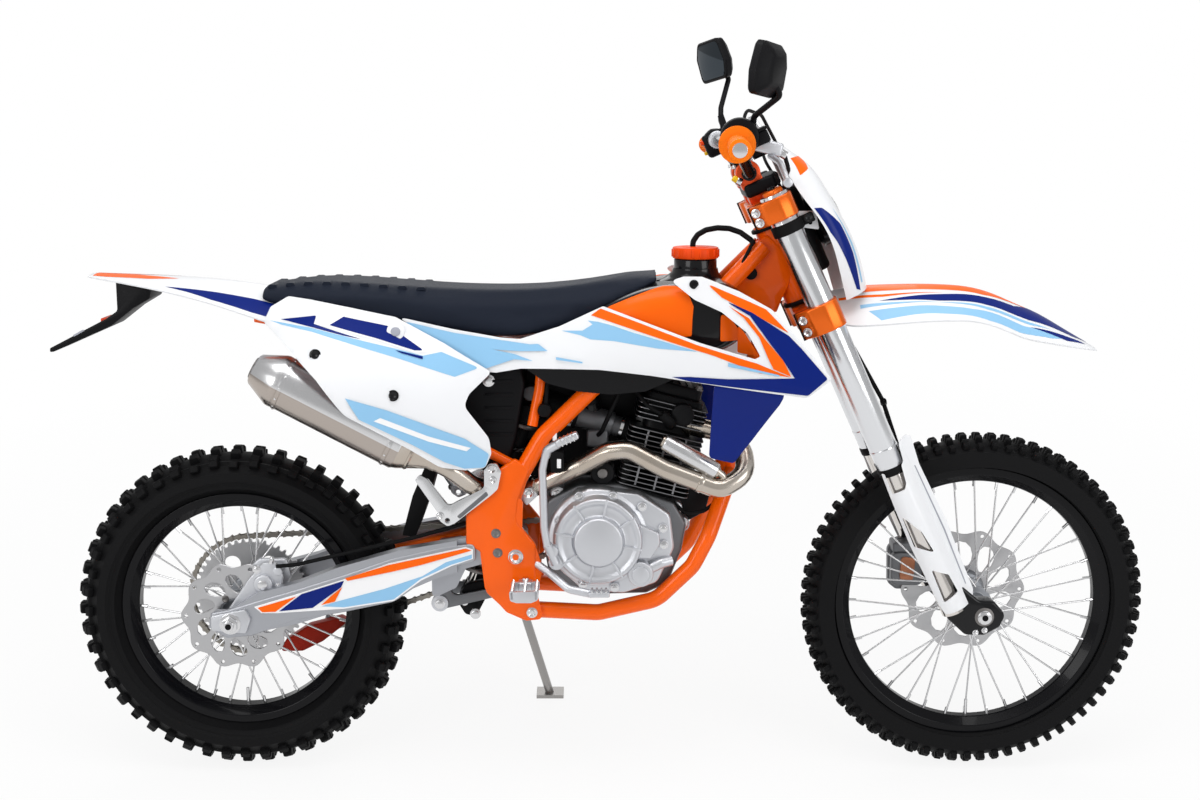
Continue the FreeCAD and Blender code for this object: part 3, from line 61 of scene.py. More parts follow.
def frame_at(origin, z_axis):
    """The matrix that takes millimetres of a frame to the row frame."""
    turn = Matrix((across.cross(z_axis), across, z_axis)).transposed().to_4x4()
    return Matrix.Translation(origin) @ turn @ Matrix.Scale(MM, 4)


REAR = frame_at(Vector(joints["rear_wheel_spin"]["pos_m"]), upward)
FRONT = frame_at(Vector(joints["front_wheel_spin"]["pos_m"]), upward)
BIKE = REAR @ Matrix.Translation((0, 0, -rear_tyre_r))
steering = joints["steering_turn"]
STEER = frame_at(Vector(steering["pos_m"]), Vector(steering["axis"]).normalized())
fork_y = 105.0
fork_forward = 24.0
axle_in_steering = STEER.inverted() @ FRONT.translation

# Finishes

plain_shine = 0.12
metal_shine = 0.5
grain_spread = 0.08


class Term:
    """A value in a material's nodes, with the sums and comparisons of ordinary numbers."""

    def __init__(self, shade, socket):
        self.shade = shade
        self.socket = socket

    def maths(self, operation, left, right):
        return self.shade.add("ShaderNodeMath", {0: left, 1: right}, operation=operation)

    def __add__(self, other):
        return self.maths("ADD", self, other)

    def __radd__(self, other):
        return self.maths("ADD", other, self)

    def __sub__(self, other):
        return self.maths("SUBTRACT", self, other)

    def __rsub__(self, other):
        return self.maths("SUBTRACT", other, self)

    def __mul__(self, other):
        return self.maths("MULTIPLY", self, other)

    def __rmul__(self, other):
        return self.maths("MULTIPLY", other, self)

    def __lt__(self, other):
        return self.maths("LESS_THAN", self, other)


class Shade:
    """One finish, built on a Principled surface."""

    def __init__(self, name, colour, rough, metal=0.0, coat=0.0, **fixed):
        self.material = bpy.data.materials.new(name)
        self.material.use_nodes = True
        self.nodes = self.material.node_tree.nodes
        self.links = self.material.node_tree.links
        self.surface = self.nodes["Principled BSDF"]
        shine = metal_shine if metal else plain_shine
        self.set(**{"Base Color": colour, "Roughness": rough, "Metallic": metal, "Coat Weight": coat,
                    "Specular IOR Level": shine}, **fixed)

    def feed(self, socket, value):
        if isinstance(value, Term):
            self.links.new(value.socket, socket)
        elif hasattr(socket.default_value, "__len__") and len(socket.default_value) == 4:
            socket.default_value = (*value, 1.0)
        else:
            socket.default_value = value

    def set(self, **inputs):
        for name, value in inputs.items():
            self.feed(self.surface.inputs[name], value)

    def add(self, kind, inputs, output=0, **settings):
        """A node with its settings, its sockets' values or links, and the output asked for."""
        node = self.nodes.new(kind)
        for name, value in settings.items():
            setattr(node, name, value)
        for name, value in inputs.items():
            self.feed(node.inputs[name], value)
        return Term(self, node.outputs[output])

    def place(self):
        """The point in the row frame at rest, in metres."""
        return self.add("ShaderNodeTexCoord", {}, output="Object")

    def along(self, direction, origin):
        """How far a point lies along a direction, in millimetres from an origin in the row frame."""
        offset = self.add("ShaderNodeVectorMath", {0: self.place(), 1: origin}, operation="SUBTRACT")
        scaled = tuple(Vector(direction).normalized() / MM)
        return self.add("ShaderNodeVectorMath", {0: offset, 1: scaled}, output="Value",
                        operation="DOT_PRODUCT")

    def stretched(self, matrix):
        """Object coordinates through a Mapping that undoes a matrix, scaled along its axes."""
        inverse = matrix.inverted()
        inputs = {"Vector": self.place(), "Location": tuple(inverse.translation),
                  "Rotation": tuple(inverse.to_euler()), "Scale": tuple(inverse.to_scale())}
        return self.add("ShaderNodeMapping", inputs)

    def noise(self, scale, vector=None):
        return self.add("ShaderNodeTexNoise",
                        {"Vector": vector or self.place(), "Scale": scale, "Detail": 3.0})

    def mix(self, factor, first, second):
        """Two colours blended by a factor."""
        return self.add("ShaderNodeMix", {"Factor": factor, 6: first, 7: second}, output=2,
                        data_type="RGBA")

    def bump(self, height, strength):
        self.set(Normal=self.add("ShaderNodeBump",
                                 {"Height": height, "Strength": strength, "Distance": MM}))
        return self


def grained(name, colour, rough, scale, strength, metal=0.0):
    """A finish with a fine grain in its height and its gloss."""
    shade = Shade(name, colour, rough, metal)
    grain = shade.noise(scale)
    shade.set(Roughness=grain * grain_spread + (rough - grain_spread / 2))
    return shade.bump(grain, strength)


orange_colour = (0.92, 0.115, 0.0)
navy_colour = (0.0, 0.012, 0.165)
sky_colour = (0.27, 0.52, 0.76)
white_colour = (0.80, 0.81, 0.83)
black_colour = (0.004, 0.004, 0.005)

orange_paint = Shade("orange_paint", orange_colour, 0.3, coat=0.35)
orange_vinyl = Shade("orange_vinyl", (0.93, 0.125, 0.0), 0.36, coat=0.12)
navy_vinyl = Shade("navy_vinyl", navy_colour, 0.34, coat=0.1)
sky_vinyl = Shade("sky_vinyl", sky_colour, 0.36, coat=0.12)
white_vinyl = Shade("white_vinyl", (0.86, 0.86, 0.87), 0.34, coat=0.15)
# Grey print on the panels and plate arm, also used as painted shade along the leg guards' crease.
grey_vinyl_and_crease_shade = Shade("grey_vinyl_and_crease_shade", (0.34, 0.35, 0.40), 0.38, coat=0.15)
white_plastic = Shade("white_plastic", white_colour, 0.3, coat=0.35)
navy_plastic = Shade("navy_plastic", navy_colour, 0.3, coat=0.15)
black_plastic = grained("black_plastic", black_colour, 0.46, 900.0, 0.12)
gloss_black = Shade("gloss_black", black_colour, 0.22, coat=0.3)
black_rubber = grained("black_rubber", (0.004, 0.004, 0.0045), 0.6, 700.0, 0.2)
rim_black = Shade("rim_black", (0.002, 0.002, 0.003), 0.22, coat=0.12)
seat_cover = grained("seat_cover", (0.009, 0.013, 0.024), 0.52, 1500.0, 0.55)
bright_steel = Shade("bright_steel", (0.68, 0.68, 0.69), 0.22, 1.0)
polished_alloy = Shade("polished_alloy", (0.74, 0.745, 0.76), 0.24, 1.0)
disc_steel = grained("disc_steel", (0.50, 0.50, 0.51), 0.34, 300.0, 0.05, metal=1.0)
dark_steel = grained("dark_steel", (0.20, 0.19, 0.185), 0.42, 300.0, 0.1, metal=1.0)
chain_steel = Shade("chain_steel", (0.30, 0.28, 0.25), 0.36, 1.0)
cast_silver = grained("cast_silver", (0.60, 0.61, 0.64), 0.4, 1400.0, 0.22, metal=0.9)
cast_grey = grained("cast_grey", (0.17, 0.175, 0.185), 0.46, 1200.0, 0.3, metal=0.8)
hub_grey = Shade("hub_grey", (0.26, 0.27, 0.29), 0.4, 0.9)
fork_silver = Shade("fork_silver", (0.72, 0.73, 0.75), 0.2, 1.0)
fork_chrome = Shade("fork_chrome", (0.66, 0.63, 0.60), 0.1, 1.0)
engine_black = grained("engine_black", (0.008, 0.008, 0.009), 0.42, 900.0, 0.25)
fin_edge = Shade("fin_edge", (0.22, 0.22, 0.23), 0.36, 0.8)
anodised_orange = Shade("anodised_orange", (0.80, 0.13, 0.004), 0.26, 0.6)
anodised_red = Shade("anodised_red", (0.60, 0.06, 0.006), 0.28, 0.6)
cap_red = Shade("cap_red", (0.86, 0.07, 0.004), 0.38)
guide_red = Shade("guide_red", (0.40, 0.022, 0.008), 0.4)
grip_orange = grained("grip_orange", (0.92, 0.19, 0.004), 0.5, 900.0, 0.2)
lamp_glass = Shade("lamp_glass", (0.92, 0.93, 0.95),
                   0.04, coat=1.0, **{"Transmission Weight": 0.85, "IOR": 1.45})
lamp_reflector = Shade("lamp_reflector", (0.80, 0.80, 0.82), 0.08, 1.0)
mirror_glass = Shade("mirror_glass", (0.05, 0.06, 0.07), 0.06, 1.0)
stand_steel = grained("stand_steel", (0.34, 0.33, 0.32), 0.42, 500.0, 0.1, metal=0.9)
calliper_bronze = Shade("calliper_bronze", (0.42, 0.17, 0.09), 0.42, 0.7)
yellow_knob = Shade("yellow_knob", (0.80, 0.50, 0.02), 0.35)
amber_knob = Shade("amber_knob", (0.75, 0.06, 0.01), 0.3)
swingarm_alloy = grained("swingarm_alloy", (0.40, 0.41, 0.44), 0.4, 900.0, 0.12, metal=0.85)

silencer_tail = Vector((66, -125, 838))
silencer_nose = Vector((345, -125, 690))
silencer_run = silencer_nose - silencer_tail


def turned(start, along):
    """A frame whose Z runs from a point along a direction."""
    return Matrix.Translation(start) @ Vector(along).to_track_quat("Z", "Y").to_matrix().to_4x4()


silencer_frame = turned(silencer_tail, silencer_run)
silencer_steel = Shade("silencer_steel", (0.50, 0.48, 0.45), 0.3, 1.0)
silencer_slope = 0.53
can_end = BIKE @ silencer_tail
low_side = silencer_steel.along(upward, can_end) + silencer_steel.along(ahead, can_end) * silencer_slope
drawn_out = BIKE @ silencer_frame @ Matrix.Diagonal((1, 1, 0.02, 1))
hair = silencer_steel.noise(90.0, silencer_steel.stretched(drawn_out))
# The can's lower half, below its axis, is painted darker and browner: painted shade.
painted_underside_shade = silencer_steel.mix((low_side < -6) * 0.7, (0.66, 0.66, 0.67), (0.36, 0.29, 0.23))
silencer_steel.set(**{"Base Color": painted_underside_shade, "Roughness": hair * 0.2 + 0.16})
header_steel = Shade("header_steel", (0.46, 0.42, 0.36), 0.24, 1.0)
heat = header_steel.noise(9.0)
header_steel.set(**{"Base Color": header_steel.mix(heat, (0.60, 0.57, 0.53), (0.42, 0.34, 0.26))})

# Shapes in millimetres. A function that makes a form returns a bmesh.


def softened(bm, width, least=30.0, segments=2, edges=None):
    """The sharp edges rounded off."""
    if width <= 0:
        return bm
    if edges is None:
        limit = math.radians(least)
        edges = [e for e in bm.edges if len(e.link_faces) == 2 and e.calc_face_angle(0) > limit]
    bmesh.ops.bevel(bm, geom=edges, offset=width, offset_type="OFFSET", segments=segments, profile=0.5,
                    affect="EDGES", clamp_overlap=True, material=-1)
    return bm


def bent(points, radii, closed=False, steps=5):
    """Straight runs joined by arcs, as points in 2-D or 3-D."""
    points = [Vector(p) for p in points]
    line = []
    count = len(points)
    for i, here in enumerate(points):
        radius = radii[i]
        if radius <= 0 or (not closed and i in (0, count - 1)):
            line.append(here)
            continue
        back = points[i - 1] - here
        on = points[(i + 1) % count] - here
        half = back.angle(on) / 2
        if half > math.pi / 2 - 0.01:
            line.append(here)
            continue
        reach = min(radius / math.tan(half), 0.48 * back.length, 0.48 * on.length)
        start = here + back.normalized() * reach
        end = here + on.normalized() * reach
        for k in range(steps + 1):
            t = k / steps
            line.append(start * (1 - t) ** 2 + here * 2 * t * (1 - t) + end * t ** 2)
    return line


def corners(outline, steps=5):
    """A closed outline from (a, b) or (a, b, corner radius)."""
    return bent([p[:2] for p in outline], [p[2] if len(p) > 2 else 0 for p in outline], True, steps)


def loop(bm, points):
    """A closed ring of edges."""
    verts = [bm.verts.new(p) for p in points]
    return [bm.edges.new((verts[i - 1], verts[i])) for i in range(len(verts))]


def flat(points):
    """One face through points."""
    bm = bmesh.new()
    bm.faces.new([bm.verts.new(p) for p in points])
    return bm


def extruded(bm, shift):
    """A sheet given thickness along a shift."""
    made = bmesh.ops.extrude_face_region(bm, geom=bm.faces[:], use_keep_orig=True)["geom"]
    bmesh.ops.translate(bm, verts=[g for g in made if isinstance(g, bmesh.types.BMVert)], vec=shift)
    bmesh.ops.recalc_face_normals(bm, faces=bm.faces[:])
    return bm


def slab(outline, y0, y1, soft=0.0, holes=(), segments=2):
    """A plate drawn in the side view between two values of Y, with rounded rims."""
    if holes:
        bm = bmesh.new()
        edges = []
        for curve in (outline, *holes):
            edges += loop(bm, [(p.x, y0, p.y) for p in corners(curve)])
        bmesh.ops.triangle_fill(bm, use_beauty=True, use_dissolve=False, edges=edges)
    else:
        bm = flat([(p.x, y0, p.y) for p in corners(outline)])
    extruded(bm, (0, y1 - y0, 0))
    if soft:
        rim = [e for e in bm.edges if len(e.link_faces) == 2 and e.calc_face_angle(0) > 1.2
               and abs(e.verts[0].co.y - e.verts[1].co.y) < 0.01]
        softened(bm, soft, segments=segments, edges=rim)
    return bm


def casting(outline, y0, y1, soft):
    """A plate with fully rounded rims."""
    return slab(outline, y0, y1, soft, segments=3)


def circle(x, z, radius, count=24):
    """A round outline."""
    return [(x + radius * math.cos(2 * math.pi * i / count), z + radius * math.sin(2 * math.pi * i / count))
            for i in range(count)]


def block(low, high, soft=0.0, segments=2):
    low = Vector(low)
    high = Vector(high)
    bm = bmesh.new()
    place = Matrix.Translation((low + high) / 2) @ Matrix.Diagonal((*(high - low), 1))
    bmesh.ops.create_cube(bm, size=1.0, matrix=place)
    return softened(bm, soft, segments=segments)


def rod(start, end, radius, end_radius=None, sides=32, soft=0.0):
    """A round bar or cone between two points."""
    start = Vector(start)
    run = Vector(end) - start
    far = radius if end_radius is None else end_radius
    bm = bmesh.new()
    place = turned(start, run) @ Matrix.Translation((0, 0, run.length / 2))
    bmesh.ops.create_cone(bm, cap_ends=True, segments=sides, radius1=radius, radius2=far, depth=run.length,
                          matrix=place)
    return softened(bm, soft)


def pin(x, z, y0, y1, radius, soft=0.0, sides=32):
    """A cylinder across the bike."""
    return rod((x, y0, z), (x, y1, z), radius, sides=sides, soft=soft)


def screw(at, out, radius=6.0, height=5.0, hexagonal=False):
    """A bolt head that stands out from a face, with its washer."""
    at = Vector(at)
    out = Vector(out).normalized()
    head = rod(at - out * 1.5, at + out * height, radius, sides=6 if hexagonal else 20, soft=0.8)
    washer = rod(at - out * 1.5, at + out, radius * 1.35, sides=20, soft=0.3)
    if not hexagonal:
        top = max(head.faces, key=lambda f: f.calc_center_median().dot(out))
        bmesh.ops.inset_region(head, faces=[top], thickness=radius * 0.42)
        bmesh.ops.translate(head, verts=top.verts[:], vec=-out * height * 0.5)
    return both_of(head, washer)


def screws(places, y, radius, height, hexagonal=False):
    """Bolt heads at (x, z) places on a face that looks away from the bike's middle."""
    out = (0, math.copysign(1, y), 0)
    return both_of(*[screw((x, y, z), out, radius, height, hexagonal) for x, z in places])


def absorb(whole, form):
    """Add a mesh to another with its finishes, and free it."""
    spare = bpy.data.meshes.new("spare")
    form.to_mesh(spare)
    whole.from_mesh(spare)
    bpy.data.meshes.remove(spare)
    form.free()


def both_of(*forms):
    """Several meshes as one, with their finishes kept."""
    for form in forms[1:]:
        absorb(forms[0], form)
    return forms[0]


def lathe(profile, steps=48, axis=(0, 1, 0)):
    """A closed profile of (radius, place along the axis) turned about an axis through the origin."""
    bm = bmesh.new()
    loop(bm, [(r, a, 0) if axis[1] else (r, 0, a) for r, a in profile])
    bmesh.ops.spin(bm, geom=bm.verts[:] + bm.edges[:], cent=(0, 0, 0), axis=axis, angle=2 * math.pi,
                   steps=steps, use_merge=True)
    bmesh.ops.remove_doubles(bm, verts=bm.verts[:], dist=0.001)
    bmesh.ops.recalc_face_normals(bm, faces=bm.faces[:])
    return bm


def pipe(points, radius, bend=30.0, sides=16, end_radius=None):
    """A round tube along straight runs and bends, its radius changing evenly if asked."""
    path = bent(points, [bend] * len(points))
    steps = len(path) - 1
    growth = 0 if end_radius is None else (end_radius - radius) / steps
    bm = bmesh.new()
    way = (path[1] - path[0]).normalized()
    bmesh.ops.create_circle(bm, cap_ends=True, segments=sides, radius=radius, matrix=turned(path[0], way))
    edges = bm.edges[:]
    for i in range(1, steps + 1):
        made = bmesh.ops.extrude_edge_only(bm, edges=edges)["geom"]
        verts = [g for g in made if isinstance(g, bmesh.types.BMVert)]
        ring = set(verts)
        edges = [g for g in made if isinstance(g, bmesh.types.BMEdge) and ring.issuperset(g.verts)]
        run = (path[i] - path[i - 1]).normalized()
        following = (path[i + 1] - path[i]).normalized() if i < steps else run
        following = (run + following).normalized()
        swing = way.rotation_difference(following).to_matrix()
        bmesh.ops.rotate(bm, verts=verts, cent=path[i - 1], matrix=swing)
        bmesh.ops.translate(bm, verts=verts, vec=path[i] - path[i - 1])
        if growth:
            share = (radius + growth * i) / (radius + growth * (i - 1))
            bmesh.ops.scale(bm, verts=verts, vec=(share,) * 3, space=Matrix.Translation(-path[i]))
        way = following
    bmesh.ops.contextual_create(bm, geom=edges)
    bmesh.ops.recalc_face_normals(bm, faces=bm.faces[:])
    return bm


def loft(rings, closed_ends=True):
    """A skin over closed rings that have the same count of points."""
    bm = bmesh.new()
    loops = [loop(bm, ring) for ring in rings]
    for first, second in zip(loops, loops[1:]):
        bmesh.ops.bridge_loops(bm, edges=first + second)
    if closed_ends:
        bmesh.ops.contextual_create(bm, geom=loops[0])
        bmesh.ops.contextual_create(bm, geom=loops[-1])
    bmesh.ops.recalc_face_normals(bm, faces=bm.faces[:])
    return bm


def spline(points):
    """A smooth curve of one value through (place, value) points."""
    points = sorted(points)
    places = [p[0] for p in points]
    values = [p[1] for p in points]
    count = len(points)
    gaps = [b - a for a, b in zip(places, places[1:])]
    curl = [0.0] * count
    middle = [1.0] * count
    right = [0.0] * count
    for i in range(1, count - 1):
        share = gaps[i - 1] / middle[i - 1] if i > 1 else 0.0
        over = gaps[i - 1] if i > 1 else 0.0
        middle[i] = 2 * (gaps[i - 1] + gaps[i]) - share * over
        rise = (values[i + 1] - values[i]) / gaps[i] - (values[i] - values[i - 1]) / gaps[i - 1]
        right[i] = 6 * rise - share * right[i - 1]
    for i in range(count - 2, 0, -1):
        curl[i] = (right[i] - gaps[i] * curl[i + 1]) / middle[i]

    def at(place):
        place = min(max(place, places[0]), places[-1])
        i = 0
        while i < count - 2 and place > places[i + 1]:
            i += 1
        a = (places[i + 1] - place) / gaps[i]
        b = 1 - a
        bow = ((a ** 3 - a) * curl[i] + (b ** 3 - b) * curl[i + 1]) * gaps[i] ** 2 / 6
        return a * values[i] + b * values[i + 1] + bow

    return at


def columns(sections):
    """Smooth curves through each further column of rows that start with a place."""
    return [spline([(row[0], row[k]) for row in sections]) for k in range(1, len(sections[0]))]


def moulded(sections):
    """A moulded surface y(x, z) through curves across the bike, each (x, [(y, z), ...])."""
    rows = [(x, spline([(z, y) for y, z in line])) for x, line in sections]

    def surface(x, z):
        return spline([(place, row(z)) for place, row in rows])(x)

    return surface


def gridded(bm, axes, cell):
    """A flat face cut along a grid, so that it can follow a surface."""
    for axis in axes:
        low = min(v.co[axis] for v in bm.verts)
        high = max(v.co[axis] for v in bm.verts)
        normal = Vector([axis == k for k in range(3)])
        for k in range(1, int((high - low) / cell) + 1):
            bmesh.ops.bisect_plane(bm, geom=bm.verts[:] + bm.edges[:] + bm.faces[:], dist=0.01,
                                   plane_co=normal * (low + k * cell), plane_no=normal)
    return bm


def facing(bm, way):
    """A sheet turned so that its faces look along a direction."""
    bm.normal_update()
    if sum(f.normal.dot(Vector(way)) for f in bm.faces) < 0:
        bmesh.ops.reverse_faces(bm, faces=bm.faces[:])
    return bm


def sheet(outline, surface, lift=0.0, cell=16.0):
    """An outline in the side view, gridded and laid on a surface."""
    bm = gridded(flat([(p.x, 0, p.y) for p in corners(outline)]), (0, 2), cell)
    for vert in bm.verts:
        vert.co.y = surface(vert.co.x, vert.co.z) - lift
    return facing(bm, (0, -1, 0))


def shell(outline, surface, thick, soft, cell=16.0, lift=0.0):
    """A moulded panel: a laid sheet with thickness inwards and softened rims."""
    bm = extruded(sheet(outline, surface, lift, cell), (0, thick, 0))
    side = {f for f in bm.faces if abs(f.normal.y) < 0.5}
    rim = [e for e in bm.edges if len(e.link_faces) == 2 and 1.0 < e.calc_face_angle(0) < 2.2
           and sum(f in side for f in e.link_faces) == 1]
    return softened(bm, soft, edges=rim)


def cut_by(bm, tool):
    """What a tool leaves of a mesh."""
    scene = bpy.context.scene.collection
    objects = []
    for form in (bm, tool):
        mesh = bpy.data.meshes.new("spare")
        form.to_mesh(mesh)
        form.free()
        made = bpy.data.objects.new("spare", mesh)
        scene.objects.link(made)
        objects.append(made)
    cut = objects[0].modifiers.new("cut", "BOOLEAN")
    cut.operation = "DIFFERENCE"
    cut.solver = "EXACT"
    cut.object = objects[1]
    left = bmesh.new()
    left.from_object(objects[0], bpy.context.evaluated_depsgraph_get())
    for made in objects:
        mesh = made.data
        bpy.data.objects.remove(made)
        bpy.data.meshes.remove(mesh)
    return left


def moved(bm, matrix):
    bmesh.ops.transform(bm, matrix=matrix, verts=bm.verts[:])
    return bm


def pitched(at, degrees):
    """A place turned about the axis across the bike."""
    return Matrix.Translation(at) @ Matrix.Rotation(math.radians(degrees), 4, "Y")


def flipped(bm):
    """The mirror image on the bike's other side."""
    again = bm.copy()
    bmesh.ops.scale(again, verts=again.verts[:], vec=(1, -1, 1))
    bmesh.ops.reverse_faces(again, faces=again.faces[:])
    return again


def on_both(parts):
    """(mesh, finish) pairs with their mirror images."""
    return parts + [(flipped(bm), shade) for bm, shade in parts]


def piece(name, body, parts, matrix=BIKE, replaces=(), crease=35.0):
    """One object from (mesh, finish) pairs, placed in its mesh and riding on a body."""
    whole = bmesh.new()
    finishes = []
    for bm, shade in parts:
        if shade not in finishes:
            finishes.append(shade)
        for face in bm.faces:
            face.material_index = finishes.index(shade)
            face.smooth = True
        limit = math.radians(crease)
        for edge in bm.edges:
            edge.smooth = len(edge.link_faces) != 2 or edge.calc_face_angle(0) < limit
        absorb(whole, bm)
    moved(whole, matrix)
    mesh = bpy.data.meshes.new(name)
    whole.to_mesh(mesh)
    whole.free()
    for shade in finishes:
        mesh.materials.append(shade.material)
    made = bpy.data.objects.new(name, mesh)
    bpy.context.scene.collection.objects.link(made)
    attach(made, body)
    if replaces:
        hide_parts(*replaces)
    return made


def paint_node(node, shade):
    """A piece of the frame keeps its mesh and takes a finish."""
    mesh = frame["nodes"][node].data
    mesh.materials.clear()
    mesh.materials.append(shade.material)


# Wheels

crown_r = 62.0
lug_height = 14.0
rear_half = 57.0
front_half = 43.0
rear_seat_r = 228.6
front_seat_r = 266.7


def carcass(radius, half, seat_r, bead):
    """The tyre's casing below the lugs, with its sidewalls and rim protectors."""
    wall = radius - lug_height
    inner = crown_r - lug_height
    right = [(wall - inner + inner * math.cos(math.radians(a)), inner * math.sin(math.radians(a)))
             for a in range(0, 56, 6)]
    side = [(wall - 34, half * 0.93), (wall - 50, half * 0.95), (seat_r + 32, half * 0.85),
            (seat_r + 26, half * 0.80), (seat_r + 23, half * 0.80), (seat_r + 20, half * 0.70),
            (seat_r + 12, bead + 0.5), (seat_r + 6, bead - 2)]
    inside = [(seat_r + 6, bead - 10), (seat_r + 30, half * 0.72), (wall - 12, half * 0.66)]
    run = right + side + inside
    return lathe(run + [(r, -y) for r, y in reversed(run) if y > 0.01 or (r, y) in inside], 96)


def lug(radius, sweep, turn, length, width, height=lug_height, base=4.0, twist=0.0):
    """One rubber block on the crown: sweep is its place across, turn its place round the tyre."""
    bm = bmesh.new()
    bmesh.ops.create_cube(bm, size=1.0)
    bmesh.ops.scale(bm, verts=bm.verts[:], vec=(length, width, height + base))
    top = [v for v in bm.verts if v.co.z > 0]
    bmesh.ops.scale(bm, verts=top, vec=(0.82, 0.86, 1))
    softened(bm, 1.3, segments=1)
    if twist:
        bmesh.ops.rotate(bm, verts=bm.verts[:], cent=(0, 0, 0), matrix=Matrix.Rotation(twist, 3, "Z"))
    out = Matrix.Rotation(-sweep, 4, "X") @ Matrix.Translation((0, 0, crown_r - (height + base) / 2 - 0.6))
    return moved(bm, Matrix.Rotation(turn, 4, "Y") @ Matrix.Translation((0, 0, radius - crown_r)) @ out)


def tyre(name, body, matrix, radius, half, seat_r, bead, rows, node):
    """A knobbly tyre: pairs of centre lugs alternate with single rows, and shoulder lugs flank them."""
    pitch = 2 * math.pi / rows
    length = 0.56 * pitch * radius
    spread = half / rear_half
    lugs = []
    for i in range(rows):
        turn = i * pitch
        odd = i % 2
        for side in (-1, 1):
            if odd:
                lugs.append(lug(radius, side * 0.20 * spread, turn, length * 0.9, 17 * spread))
                lugs.append(lug(radius, side * 0.70 * spread, turn, length * 0.92, 15 * spread,
                                twist=0.1 * side))
            else:
                lugs.append(lug(radius, side * 0.45 * spread, turn, length * 0.85, 17 * spread))
            shoulder = side * (0.92 if odd else 0.98) * spread
            lugs.append(lug(radius, shoulder, turn, length * 0.86, 15 * spread, height=15, base=10))
        if not odd:
            lugs.append(lug(radius, 0.0, turn, length * 0.8, 18 * spread))
    ridges = []
    for side in (-1, 1):
        for foot in (seat_r + 33, seat_r + 38):
            ridges.append(lathe([
                (foot, side * (half * 0.87 + 0.6)), (foot + 1, side * half * 0.87 + side),
                (foot + 2, side * (half * 0.88 + 0.4)), (foot + 1, side * half * 0.80)], 96))
    parts = [(carcass(radius, half, seat_r, bead), black_rubber), (both_of(*lugs, *ridges), black_rubber)]
    return piece(name, body, parts, matrix, [node], crease=28)


tyre("rear_knobbly_tyre", "rear_wheel", REAR, rear_tyre_r, rear_half, rear_seat_r, 28.0, 48, "rear_tyre")
tyre("front_knobbly_tyre", "front_wheel", FRONT, front_tyre_r, front_half, front_seat_r, 21.0, 72,
     "front_tyre")

disc_thick = 4.0
wave_depth = 5.5
disc_waves = 10


def wave_disc(radius, y, carrier_r):
    """A brake disc with a waved rim, rows of holes and arms to its carrier."""
    count = disc_waves * 12
    outline = []
    for i in range(count):
        angle = 2 * math.pi * i / count
        rim = radius - wave_depth + wave_depth * math.cos(disc_waves * angle)
        outline.append((rim * math.cos(angle), rim * math.sin(angle)))
    holes = [circle(0, 0, carrier_r - 12, 40)]
    band = radius - 26
    for i in range(disc_waves):
        angle = 2 * math.pi * (i + 0.5) / disc_waves
        peak = angle + math.pi / disc_waves
        holes.append(circle((radius - 10) * math.cos(peak), (radius - 10) * math.sin(peak), 4, 10))
        window = []
        for across_share, swing_share in circle(0, 0, 1, 12):
            out = (band + carrier_r) / 2 + ((band - carrier_r) / 2 + 1) * across_share
            swing = angle + 0.235 * swing_share + 0.1 * across_share
            window.append((out * math.cos(swing), out * math.sin(swing)))
        holes.append(window)
    return slab(outline, y - disc_thick / 2, y + disc_thick / 2, 0.5, holes, segments=1)


bolt_ring = circle(0, 0, 40, 6)
piece("rear_wave_disc", "rear_wheel", [
    (wave_disc(110, -72, 48), disc_steel), (screws(bolt_ring, -74, 5.5, 4), dark_steel),
    (lathe([(32, -72), (46, -72), (46, -62), (32, -62)]), hub_grey)], REAR, ["rear_disc"])
piece("front_wave_disc", "front_wheel", [
    (wave_disc(128, 68, 50), disc_steel), (screws(bolt_ring, 70, 5.5, 4), dark_steel),
    (lathe([(32, 70), (46, 70), (40, 58), (32, 58)]), hub_grey)], FRONT, ["front_disc"])


def nipples(seat_r, wheel_body, matrix, name):
    """The small silver ends of the spokes where they enter the rim, and the valve."""
    ends = []
    for side in (-1, 1):
        for i in range(18):
            angle = math.radians(i * 20 + (10 if side > 0 else 0))
            out = Vector((math.cos(angle), 0, math.sin(angle)))
            foot = out * (seat_r - 34) + Vector((0, side * 8.5, 0))
            tip = out * (seat_r - 18) + Vector((0, side * 6.0, 0))
            ends.append(rod(foot, tip, 3.1, sides=8))
    ends.append(rod((0, 0, -seat_r + 18), (0, 0, -seat_r + 52), 3.4, sides=12))
    return piece(name, wheel_body, [(both_of(*ends), bright_steel)], matrix)


nipples(rear_seat_r, "rear_wheel", REAR, "rear_nipples")
nipples(front_seat_r, "front_wheel", FRONT, "front_nipples")

chain_y = 74.0
chain_pitch = 15.875
chain_slack = 3.2
rear_teeth = 48
front_teeth = 14
drive = Vector((612.0, 455.0))
rear_pitch_r = chain_pitch / (2 * math.sin(math.pi / rear_teeth)) + chain_slack
front_pitch_r = chain_pitch / (2 * math.sin(math.pi / front_teeth))


def heading_at(angle):
    return Vector((math.cos(angle), math.sin(angle)))


